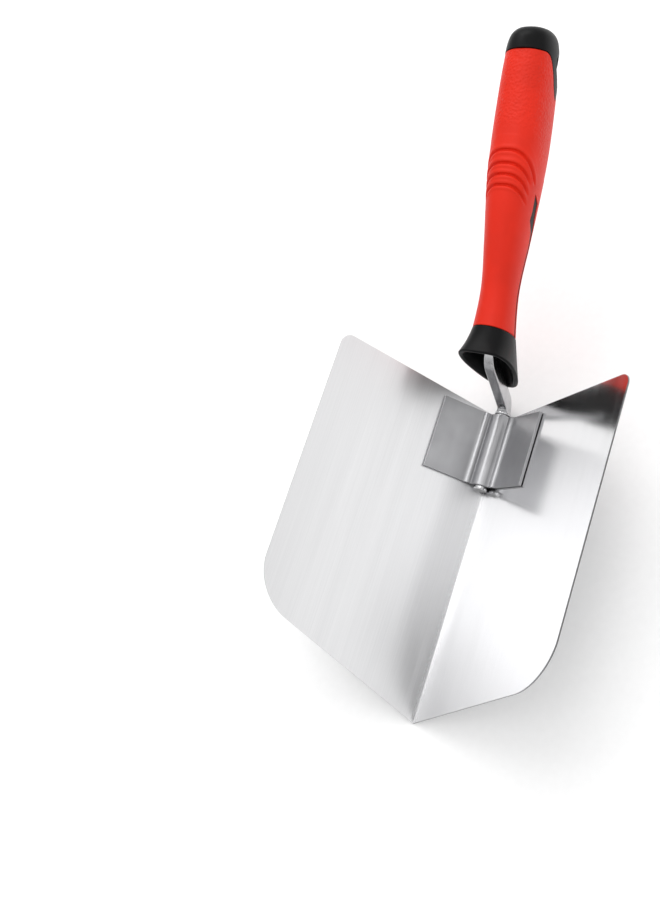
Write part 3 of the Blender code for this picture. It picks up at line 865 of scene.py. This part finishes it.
def build_tang():
    """Loft the rod from its sawn end through the collar, heel and crank to the tail."""
    ahead, crank = handle_axis()
    heel = heel_corner()
    tail_end = crank - ahead * TAIL_LENGTH
    nose = Vector((SADDLE_LENGTH + PIN_STICKS_OUT, 0.0, PIN_HEIGHT))
    backwards = Vector((-1.0, 0.0, 0.0))
    collar_end = COLLAR_START + COLLAR_LENGTH
    half_chamfer = PIN_CHAMFER / 2.0
    rings = []
    # The pin from its sawn end to the collar, with each edge rounded in small steps.
    for behind, radius in (
        (-nose.x - 0.06, PIN_RADIUS * 0.5),
        (-nose.x, PIN_RADIUS - PIN_CHAMFER * 1.4),
        (-nose.x + half_chamfer * 0.5, PIN_RADIUS - half_chamfer * 1.2),
        (-nose.x + PIN_CHAMFER, PIN_RADIUS - 0.03),
        (-nose.x + PIN_CHAMFER * 2.0, PIN_RADIUS),
        (COLLAR_START, PIN_RADIUS),
        (COLLAR_START, COLLAR_RADIUS - COLLAR_CHAMFER),
        (COLLAR_START + COLLAR_CHAMFER * 0.4, COLLAR_RADIUS - COLLAR_CHAMFER * 0.3),
        (COLLAR_START + COLLAR_CHAMFER, COLLAR_RADIUS),
        (collar_end - COLLAR_CHAMFER, COLLAR_RADIUS),
        (collar_end - COLLAR_CHAMFER * 0.4, COLLAR_RADIUS - COLLAR_CHAMFER * 0.3),
        (collar_end, COLLAR_RADIUS - COLLAR_CHAMFER),
        (collar_end + 0.1, COLLAR_RADIUS - HEEL_WAIST - 0.2),
    ):
        rings.append(tang_section(Vector((-behind, 0.0, PIN_HEIGHT)), backwards, radius, radius, ROUND))
    half_width = NECK_WIDTH / 2.0
    half_depth = NECK_DEPTH / 2.0
    for step, (point, along) in enumerate(bent_corner(nose, heel, crank, HEEL_RADIUS)):
        share = min(1.0, (step + HEEL_HEAD_START) / (BEND_STEPS * HEEL_SQUARES_OVER))
        rings.append(tang_section(
            point,
            along,
            blend(COLLAR_RADIUS - HEEL_WAIST, half_width, share),
            blend(COLLAR_RADIUS - HEEL_WAIST, half_depth, share),
            blend(ROUND, TANG_SQUARENESS, share),
        ))
    for point, along in bent_corner(heel, crank, tail_end, CRANK_RADIUS):
        rings.append(tang_section(point, along, half_width, half_depth, TANG_SQUARENESS))
    end_width = half_width * TAIL_END_SCALE
    end_depth = half_depth * TAIL_END_SCALE
    rings.append(tang_section(tail_end, -ahead, end_width, end_depth, TANG_SQUARENESS))
    mesh = loft_mesh("tang_rod", rings, pick=lambda ring, point: int(ring in (-1, 0, 1)))
    materials = [forged_steel(), sawn_steel()]
    finish_mesh("tang_rod", mesh, materials, blade_place(), "tang")


# ---------------------------------------------------------------- handle


def arc_station(top, away):
    """Station of an arc that starts at top on the thumb line, at an angle away from that line."""
    return top + ARC_REACH * (np.minimum(np.abs(away), ARC_LIMIT) / ARC_TURN) ** ARC_BEND


def groove_line(top, end):
    """Points on the skin along one groove, from one side over the thumb line to the other."""
    away = np.linspace(-end, end, GROOVE_POINTS)
    return skin(arc_station(top, away), math.pi / 2.0 - away)


def carve(grid, line, width, depth):
    """Press a round-bottomed groove into a grid of skin points along a line."""
    low = line.min(axis=0) - 2.0 * width
    high = line.max(axis=0) + 2.0 * width
    near = np.all((grid > low) & (grid < high), axis=-1)
    places = grid[near]
    run = np.concatenate([[0.0], np.cumsum(np.linalg.norm(np.diff(line, axis=0), axis=1))])
    steps = np.arange(0.0, run[-1], GROOVE_STEP)
    dense = np.stack([np.interp(steps, run, line[:, axis]) for axis in range(3)], axis=1)
    left = np.minimum(steps, run[-1] - steps)
    fade = smooth_step(np.clip(left / GROOVE_FADE, 0.0, 1.0))
    distance = np.full(len(places), 1e9)
    strength = np.zeros(len(places))
    for point, level in zip(dense, fade):
        away = np.linalg.norm(places - point, axis=1)
        closer = away < distance
        distance[closer] = away[closer]
        strength[closer] = level
    hollow = np.cos(np.minimum(distance / width, 0.5) * math.pi) ** GROOVE_BLUNTNESS
    bank = GROOVE_BANK * np.exp(-(((distance - width) / (0.5 * width)) ** 2))
    moved = np.zeros(grid.shape[:2])
    moved[near] = depth * strength * (bank - hollow)
    return moved


def grip_grid(inset=0.0):
    """Skin points from the cap's seam to the bolster's, packed closer at the grooves."""
    turn = turns()
    rear = cap_seam(turn) + SEAM_GAP
    front = bolster_seam(turn) - SEAM_GAP
    fixed = np.concatenate([np.arange(*row) for row in GRIP_ROWS])
    closing = np.linspace(0.0, 1.0, 20)[:-1] ** SEAM_CROWDING
    opening = 1.0 - np.linspace(1.0, 0.0, 10)[1:] ** SEAM_CROWDING
    rows = [blend(rear, fixed[0], share) for share in closing]
    rows += [np.full(AROUND, at) for at in fixed]
    rows += [blend(fixed[-1], front, share) for share in opening]
    return skin(np.array(rows), turn, inset)


def stripe_cutters(grow):
    """The left and the right stripe's outline, grown and drawn out sideways."""
    outline = grown(STRIPE_OUTLINE, grow)
    near, far = STRIPE_CUT
    return [prism_mesh("stripe_outline", outline, side * near, side * far) for side in (1, -1)]


def lipped(grid):
    """Add rounded lips at both ends of a moulded sleeve, and its inner wall, as one looped body."""
    normals = grid_normals(grid)
    first = grid[0] - normals[0] * LIP
    last = grid[-1] - normals[-1] * LIP
    grid = grid.copy()
    for ring, share in ((0, LIP_LAST), (1, LIP_NEXT), (-1, LIP_LAST), (-2, LIP_NEXT)):
        grid[ring] -= normals[ring] * LIP * share
    inner_last = last - normals[-1] * (GRIP_SHELL - LIP)
    inner_first = first - normals[0] * (GRIP_SHELL - LIP)
    return np.concatenate([[first], grid, [last], [inner_last], [inner_first]])


def build_grip(groove_width, groove_depth, colour):
    """The soft sleeve with its grooves, the step to its grained part, and room for the stripes."""
    grid = grip_grid()
    normals = grid_normals(grid)
    moved = np.zeros(grid.shape[:2])
    for top, end in GROOVES:
        moved += carve(grid, groove_line(top, end), groove_width, groove_depth)
    away = np.abs((turns() - math.pi / 2.0 + math.pi) % (2.0 * math.pi) - math.pi)
    past = grid[..., 0] - arc_station(GRAIN_EDGE, away)
    grain = smooth_step(1.0 - np.clip((past + GRAIN_FADE) / GRAIN_FADE, 0.0, 1.0))
    moved -= GRAIN_SINK * (1.0 - np.clip((past + GRAIN_STEP / 2.0) / GRAIN_STEP, 0.0, 1.0))
    grid = grid + normals * moved[..., None]
    rings = lipped(grid)
    mesh = loft_mesh("grip_sleeve", rings, loop=True)
    levels = np.zeros(rings.shape[:2])
    levels[1:1 + len(grain)] = grain
    levels[0] = grain[0]
    attribute = mesh.attributes.new("grain", "FLOAT", "POINT")
    attribute.data.foreach_set("value", levels.reshape(-1).astype(np.float32))
    mesh = cut_mesh(mesh, stripe_cutters(STRIPE_CLEARANCE), "DIFFERENCE")
    finish_mesh("grip_sleeve", mesh, [red_rubber(colour)], handle_place(), "grip")


def build_stripes(colour):
    """Cut each stripe from a thinner sleeve, so that it follows the grip's curve."""
    finish = grey_plastic(colour)
    grid = grip_grid(STRIPE_SINK)[::2, ::2]
    wall = grip_grid(GRIP_SHELL)[::2, ::2]
    for cutter, name in zip(stripe_cutters(-STRIPE_CLEARANCE), ("stripe_left", "stripe_right")):
        mesh = loft_mesh(name, np.concatenate([grid, wall[::-1]]), loop=True)
        mesh = cut_mesh(mesh, [cutter], "INTERSECT")
        piece = finish_mesh(f"{name}_insert", mesh, [finish], handle_place(), name)
        piece.data.name = piece.name


def ridged(grid, share):
    """Raise a soft gable along the thumb line."""
    half = np.abs(grid[..., 1]).max(axis=-1, keepdims=True)
    slope = np.clip(1.0 - np.abs(grid[..., 1]) / np.maximum(half, 0.01), 0.0, 1.0)
    upper = np.clip(grid[..., 2] / RIDGE_BLEND, 0.0, 1.0)
    grid = grid.copy()
    grid[..., 2] += RIDGE * share * slope * upper
    return grid


def hole_outline():
    """The hang hole from the side: a slot with round ends."""
    straight = (HOLE_LENGTH - HOLE_WIDTH) / 2.0
    outline = []
    radius = HOLE_WIDTH / 2.0
    for step in range(HOLE_AROUND):
        turn = 2.0 * math.pi * (step + 0.5) / HOLE_AROUND
        along = math.copysign(straight, math.cos(turn)) + radius * math.cos(turn)
        up = radius * math.sin(turn)
        outline.append((
            HOLE_STATION + along * math.cos(HOLE_TILT) - up * math.sin(HOLE_TILT),
            HOLE_HEIGHT + along * math.sin(HOLE_TILT) + up * math.cos(HOLE_TILT),
        ))
    return outline


def hole_distance(grid):
    """How far outside the hang hole's outline each point lies, seen from the side."""
    straight = (HOLE_LENGTH - HOLE_WIDTH) / 2.0
    station = grid[..., 0] - HOLE_STATION
    height = grid[..., 2] - HOLE_HEIGHT
    along = station * math.cos(HOLE_TILT) + height * math.sin(HOLE_TILT)
    up = height * math.cos(HOLE_TILT) - station * math.sin(HOLE_TILT)
    past = np.maximum(np.abs(along) - straight, 0.0)
    return np.hypot(past, up) - HOLE_WIDTH / 2.0


def build_cap(colour):
    """The domed cap down to its seam, the plug under the grip, and the hang hole."""
    turn = turns()
    seam = cap_seam(turn) - SEAM_GAP
    rows = [np.full(AROUND, at) for at in DOME_STATIONS]
    rows += [blend(DOME_STATIONS[-1], seam, share) for share in np.linspace(0.0, 1.0, 40)[1:]]
    grid = skin(np.array(rows), turn)
    grid = ridged(grid, np.clip(grid[..., 0] / CAP_RIDGE_RUN, 0.0, 1.0) * CAP_RIDGE)
    normals = grid_normals(grid)
    away = np.clip(1.0 - hole_distance(grid) / HOLE_LIP, 0.0, 1.0)
    on_side = np.abs(grid[..., 1]) > HOLE_SIDE
    grid = grid - normals * (HOLE_LIP_DEPTH * away**2 * on_side)[..., None]
    lip = grid[-1] - normals[-1] * LIP
    grid[-1] -= normals[-1] * LIP * LIP_LAST
    grid[-2] -= normals[-2] * LIP * LIP_NEXT
    plug = GRIP_SHELL + GAP
    crown = grid[0] * [0.0, CROWN_SHARE, CROWN_SHARE] - [CROWN_RISE, 0.0, 0.0]
    rings = np.concatenate([
        [crown],
        grid,
        [lip],
        [skin(seam, turn, plug)],
        [skin(np.maximum(seam, PLUG_END), turn, plug)],
    ])
    mesh = loft_mesh("butt_cap", rings)
    hole = prism_mesh("hang_hole", hole_outline(), -HOLE_CUT, HOLE_CUT)
    mesh = cut_mesh(mesh, [hole], "DIFFERENCE")
    materials = [black_plastic(colour)]
    finish_mesh("butt_cap", mesh, materials, handle_place(), "end_cap")


def mouth_ring(turn, inset=0.0):
    """The bolster's oblique mouth: wide and flat at the thumb edge, narrow at the bottom."""
    wide = power(np.cos(turn), ROUND / MOUTH_SQUARENESS)
    high = power(np.sin(turn), ROUND / MOUTH_SQUARENESS)
    share = (1.0 - high) / 2.0
    slant = np.array([MOUTH_BOTTOM[0] - MOUTH_TOP[0], MOUTH_BOTTOM[1] - MOUTH_TOP[1]])
    length = np.linalg.norm(slant)
    along = blend(inset, length - inset * UNDER_RIM, share)
    place = np.array(MOUTH_TOP) + (slant / length) * along[:, None]
    half = blend(MOUTH_TOP_HALF, MOUTH_BOTTOM_HALF, smooth_step(share)) - inset
    half += CHEEK_SWELL * np.sin(math.pi * np.clip(share, 0.0, 1.0))
    return np.stack([place[:, 0], wide * half, place[:, 1]], axis=-1)


def build_bolster(colour):
    """The flared collar: its outside, the rounded rim, the hollow, and the slot for the tang."""
    turn = turns()
    start = skin(bolster_seam(turn) + SEAM_GAP, turn)
    stop = mouth_ring(turn)
    thumb = np.maximum(np.sin(turn), 0.0)
    rows = []
    for share in np.linspace(0.0, 1.0, 40):
        flare = blend(share, share * share, THUMB_FLARE * thumb)
        row = start + (stop - start) * np.stack([np.full(AROUND, share), flare, flare], axis=-1)
        rows.append(ridged(row, blend(SEAM_RIDGE, 1.0, share)))
    grid = np.array(rows)
    normals = grid_normals(grid)
    first = grid[0] - normals[0] * LIP
    grid[0] -= normals[0] * LIP * LIP_LAST
    ahead = np.array([1.0, 0.0, 0.0])
    rim = []
    for share in np.arange(1, RIM_STEPS + 1) / RIM_STEPS:
        lean = math.pi * share
        crown = ahead * (RIM_CROWN * math.sin(lean))
        row = mouth_ring(turn, RIM * (1.0 - math.cos(lean)) / 2.0) + crown
        rim.append(ridged(row, 1.0 - RIM_RIDGE_LOSS * share))
    floor = skin(bolster_seam(turn, GRIP_SHELL), turn, GRIP_SHELL + GAP) + ahead * CAVITY_FLOOR
    cavity = []
    for share in np.linspace(0.0, 1.0, 12)[1:]:
        cavity.append(rim[-1] + (floor - rim[-1]) * smooth_step(share))
    slot_wide = power(np.cos(turn), ROUND / TANG_SQUARENESS) * (NECK_WIDTH / 2.0 + SLOT_CLEARANCE)
    slot_high = power(np.sin(turn), ROUND / TANG_SQUARENESS) * (NECK_DEPTH / 2.0 + SLOT_CLEARANCE)
    slot_station = BOLSTER_SEAM_STATION + CAVITY_FLOOR - BOLSTER_SEAM_SLOPE * slot_high
    slot = np.stack([slot_station, slot_wide, slot_high], axis=-1)
    behind = slot - ahead * (CAVITY_FLOOR - SEAM_GAP)
    rings = np.concatenate([[first], grid, rim, cavity, [slot], [behind]])
    mesh = loft_mesh("bolster_collar", rings, loop=True)
    materials = [black_plastic(colour)]
    finish_mesh("bolster_collar", mesh, materials, handle_place(), "bolster")


# ---------------------------------------------------------------- settings


class TrowelSteelSettings(bpy.types.PropertyGroup):
    """Sizes of the steel parts' finish."""

    blade_softening: FloatProperty(
        name="Blade edge", description="Rounding of the blade's sheared edges",
        default=0.1 * MM, min=0.0, max=0.25 * MM, unit="LENGTH", precision=5,
    )
    saddle_softening: FloatProperty(
        name="Saddle edge", description="Rounding of the saddle's pressed edges",
        default=0.22 * MM, min=0.0, max=0.5 * MM, unit="LENGTH", precision=5,
    )


class TrowelHandleSettings(bpy.types.PropertyGroup):
    """Sizes and colours of the handle."""

    groove_width: FloatProperty(
        name="Groove width", description="Width of the thumb grooves",
        default=1.15 * MM, min=0.4 * MM, max=2.0 * MM, unit="LENGTH", precision=5,
    )
    groove_depth: FloatProperty(
        name="Groove depth", description="Depth of the thumb grooves",
        default=0.8 * MM, min=0.1 * MM, max=1.2 * MM, unit="LENGTH", precision=5,
    )
    grip_colour: FloatVectorProperty(
        name="Grip", description="Colour of the soft grip",
        default=linear("E0260C"), size=3, min=0.0, max=1.0, subtype="COLOR",
    )
    plastic_colour: FloatVectorProperty(
        name="Black parts", description="Colour of the cap and the bolster",
        default=linear("040405"), size=3, min=0.0, max=1.0, subtype="COLOR",
    )
    stripe_colour: FloatVectorProperty(
        name="Stripes", description="Colour of the side inserts",
        default=linear("1C1716"), size=3, min=0.0, max=1.0, subtype="COLOR",
    )


class TrowelStageSettings(bpy.types.PropertyGroup):
    """The studio round the trowel."""

    key_strength: FloatProperty(
        name="Key light", description="Power of the large soft key light", default=5.0, min=0.0,
        unit="POWER",
    )
    room_strength: FloatProperty(
        name="Room light", description="Brightness of the room overhead", default=1.18, min=0.0,
    )


# ---------------------------------------------------------------- operators


class TROWEL_OT_stage(bpy.types.Operator):
    """Make the camera, the soft lights and the pale floor"""

    bl_idname = "trowel.stage"
    bl_label = "Stage"

    def execute(self, context):
        settings = context.scene.trowel_stage
        build_camera()
        build_lights(settings.key_strength, settings.room_strength)
        build_floor()
        return {"FINISHED"}


class TROWEL_OT_blade(bpy.types.Operator):
    """Make the folded blade from brushed sheet"""

    bl_idname = "trowel.blade"
    bl_label = "Blade"

    def execute(self, context):
        build_blade(context.scene.trowel_steel.blade_softening / MM)
        return {"FINISHED"}


class TROWEL_OT_saddle(bpy.types.Operator):
    """Make the pressed saddle, and give its weld nuggets the same steel"""

    bl_idname = "trowel.saddle"
    bl_label = "Saddle"

    def execute(self, context):
        build_saddle(context.scene.trowel_steel.saddle_softening / MM)
        weld = pressed_steel()
        weld.name = "mild_steel_weld_nugget"
        for name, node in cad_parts.items():
            if name.startswith("weld_"):
                repaint(node, weld)
        return {"FINISHED"}


class TROWEL_OT_tang(bpy.types.Operator):
    """Make the forged tang with its collar and sawn rod end"""

    bl_idname = "trowel.tang"
    bl_label = "Tang"

    def execute(self, context):
        build_tang()
        return {"FINISHED"}


class TROWEL_OT_grip(bpy.types.Operator):
    """Make the soft grip with its thumb grooves and leather grain"""

    bl_idname = "trowel.grip"
    bl_label = "Grip"

    def execute(self, context):
        settings = context.scene.trowel_handle
        build_grip(settings.groove_width / MM, settings.groove_depth / MM, tuple(settings.grip_colour))
        return {"FINISHED"}


class TROWEL_OT_stripes(bpy.types.Operator):
    """Make the two side inserts"""

    bl_idname = "trowel.stripes"
    bl_label = "Stripes"

    def execute(self, context):
        build_stripes(tuple(context.scene.trowel_handle.stripe_colour))
        return {"FINISHED"}


class TROWEL_OT_black_parts(bpy.types.Operator):
    """Make the butt cap and the bolster, and give the hidden core the same plastic"""

    bl_idname = "trowel.black_parts"
    bl_label = "Cap and bolster"

    def execute(self, context):
        colour = tuple(context.scene.trowel_handle.plastic_colour)
        build_cap(colour)
        build_bolster(colour)
        repaint(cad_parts["handle_core"], black_plastic(colour))
        return {"FINISHED"}


def repaint(node, material):
    """Give a kept CAD node a new material in each of its slots."""
    for slot in node.material_slots:
        slot.material = material


class TROWEL_PT_panel(bpy.types.Panel):
    """Lists the trowel's pieces in the sidebar"""

    bl_idname = "TROWEL_PT_panel"
    bl_label = "Inside Corner Trowel"
    bl_space_type = "VIEW_3D"
    bl_region_type = "UI"
    bl_category = "Trowel"

    def draw(self, context):
        for group in ("trowel_steel", "trowel_handle", "trowel_stage"):
            settings = getattr(context.scene, group)
            box = self.layout.box()
            for name in settings.__annotations__:
                box.prop(settings, name)
        for maker in MAKERS:
            self.layout.operator(maker.bl_idname)


# ---------------------------------------------------------------- stage


CAMERA_PLACE = Vector((109.3, 120.8, 343.8))  # millimetres, in the frame's own axes
CAMERA_AHEAD = Vector((-0.21042, -0.48315, -0.84988))
CAMERA_UP = Vector((-0.92405, -0.1855, 0.33424))
CAMERA_LENS = 36.0
CAMERA_SENSOR = 36.0

# Each soft box's place from the trowel's middle and its two sides, in millimetres
KEY_PLACE = (-600, -260, 880)
KEY_SIZE = (800, 800)
# name, place, size, watts
SOFT_BOXES = (
    ("side_strip", (-90, 800, 470), (900, 80), 0.34),
    ("top_light", (-15, 105, 850), (200, 400), 0.5),
)
# name, place, aim (None is the trowel's middle) and half widths of each black card, in millimetres
DARK_CARDS = (
    ("card_by_camera", CAMERA_PLACE - CAMERA_AHEAD * 40.0, None, (95, 95)),
    ("card_overhead", Vector((-158, 10, 330)), Vector((0, -25, 24)), (80, 80)),
)
CARD_CORNERS = 48
ROOM_LOW = 0.33  # the room's brightness at the horizon, over that overhead
FLOOR_HALF = 12.0  # metres
FLOOR_DROP = 0.1 * MM  # keeps the floor clear of the fold


def look_matrix(place, ahead, up):
    """A place in millimetres, turned so that -Z looks ahead."""
    back = -ahead.normalized()
    right = up.cross(back).normalized()
    true_up = back.cross(right)
    turned = Matrix((right, true_up, back)).transposed()
    return Matrix.Translation(place * MM) @ turned.to_4x4()


def build_camera():
    lens = bpy.data.cameras.new("camera")
    lens.lens = CAMERA_LENS
    lens.sensor_width = CAMERA_SENSOR
    lens.clip_start = 0.01
    lens.clip_end = 50.0
    camera = bpy.data.objects.new("camera", lens)
    bpy.context.scene.collection.objects.link(camera)
    camera.matrix_world = look_matrix(CAMERA_PLACE, CAMERA_AHEAD, CAMERA_UP)
    bpy.context.scene.camera = camera


def soft_box(name, place, aim, size, watts):
    light = bpy.data.lights.new(name, "AREA")
    light.shape = "RECTANGLE"
    light.size, light.size_y = [side * MM for side in size]
    light.energy = watts
    box = bpy.data.objects.new(name, light)
    bpy.context.scene.collection.objects.link(box)
    box.matrix_world = look_matrix(place, aim - place, Vector((0, 0, 1)))


def dark_card(name, place, aim, reach):
    """An oval black card that shows in every reflection, but not to the camera or as a shadow."""
    mesh = bpy.data.meshes.new(name)
    body = bmesh.new()
    bmesh.ops.create_circle(body, cap_ends=True, segments=CARD_CORNERS, radius=MM)
    bmesh.ops.scale(body, verts=body.verts, vec=(reach[0], reach[1], 1.0))
    body.to_mesh(mesh)
    body.free()
    card = bpy.data.objects.new(name, mesh)
    bpy.context.scene.collection.objects.link(card)
    card.matrix_world = look_matrix(place, aim - place, Vector((0, 1, 0)))
    mesh.materials.append(black_felt())
    card.visible_camera = False
    card.visible_diffuse = False
    card.visible_shadow = False


def build_lights(key_strength, room_strength):
    low, high = CAD_BOX
    middle = (low + high) / 2.0 / MM
    for name, place, size, watts in (("key_light", KEY_PLACE, KEY_SIZE, key_strength), *SOFT_BOXES):
        soft_box(name, middle + Vector(place), middle, size, watts)
    for name, place, aim, reach in DARK_CARDS:
        dark_card(name, place, aim or middle, reach)
    world = bpy.data.worlds.new("white_room")
    bpy.context.scene.world = world
    world.use_nodes = True
    tree = world.node_tree
    back = tree.nodes["Background"]
    back.inputs["Color"].default_value = (1.0, 1.0, 1.0, 1.0)
    where = add_node(tree, "ShaderNodeTexCoord").outputs["Generated"]
    split = add_node(tree, "ShaderNodeSeparateXYZ", {}, {}, {"Vector": where})
    values = {"To Min": ROOM_LOW * room_strength, "To Max": room_strength}
    level = add_node(tree, "ShaderNodeMapRange", {}, values, {"Value": split.outputs["Z"]})
    tree.links.new(level.outputs[0], back.inputs["Strength"])
    bpy.context.scene.view_settings.view_transform = "Standard"


def build_floor():
    low, high = CAD_BOX
    middle = (low + high) / 2.0
    mesh = bpy.data.meshes.new("floor")
    body = bmesh.new()
    bmesh.ops.create_grid(body, x_segments=8, y_segments=8, size=FLOOR_HALF)
    bmesh.ops.translate(body, verts=body.verts, vec=(middle.x, middle.y, low.z - FLOOR_DROP))
    body.to_mesh(mesh)
    body.free()
    mesh.materials.append(pale_board())
    floor = bpy.data.objects.new("floor", mesh)
    bpy.context.scene.collection.objects.link(floor)


# ---------------------------------------------------------------- run


MAKERS = (
    TROWEL_OT_stage,
    TROWEL_OT_blade,
    TROWEL_OT_saddle,
    TROWEL_OT_tang,
    TROWEL_OT_black_parts,
    TROWEL_OT_grip,
    TROWEL_OT_stripes,
)
GROUPS = {
    "trowel_steel": TrowelSteelSettings,
    "trowel_handle": TrowelHandleSettings,
    "trowel_stage": TrowelStageSettings,
}


def register():
    for made in (*GROUPS.values(), *MAKERS, TROWEL_PT_panel):
        bpy.utils.register_class(made)
    for name, group in GROUPS.items():
        setattr(bpy.types.Scene, name, PointerProperty(type=group))


def unregister():
    for name in GROUPS:
        delattr(bpy.types.Scene, name)
    for made in reversed((*GROUPS.values(), *MAKERS, TROWEL_PT_panel)):
        bpy.utils.unregister_class(made)


def main():
    register()
    for maker in MAKERS:
        family, action = maker.bl_idname.split(".")
        getattr(getattr(bpy.ops, family), action)()


if __name__ == "__main__":
    main()
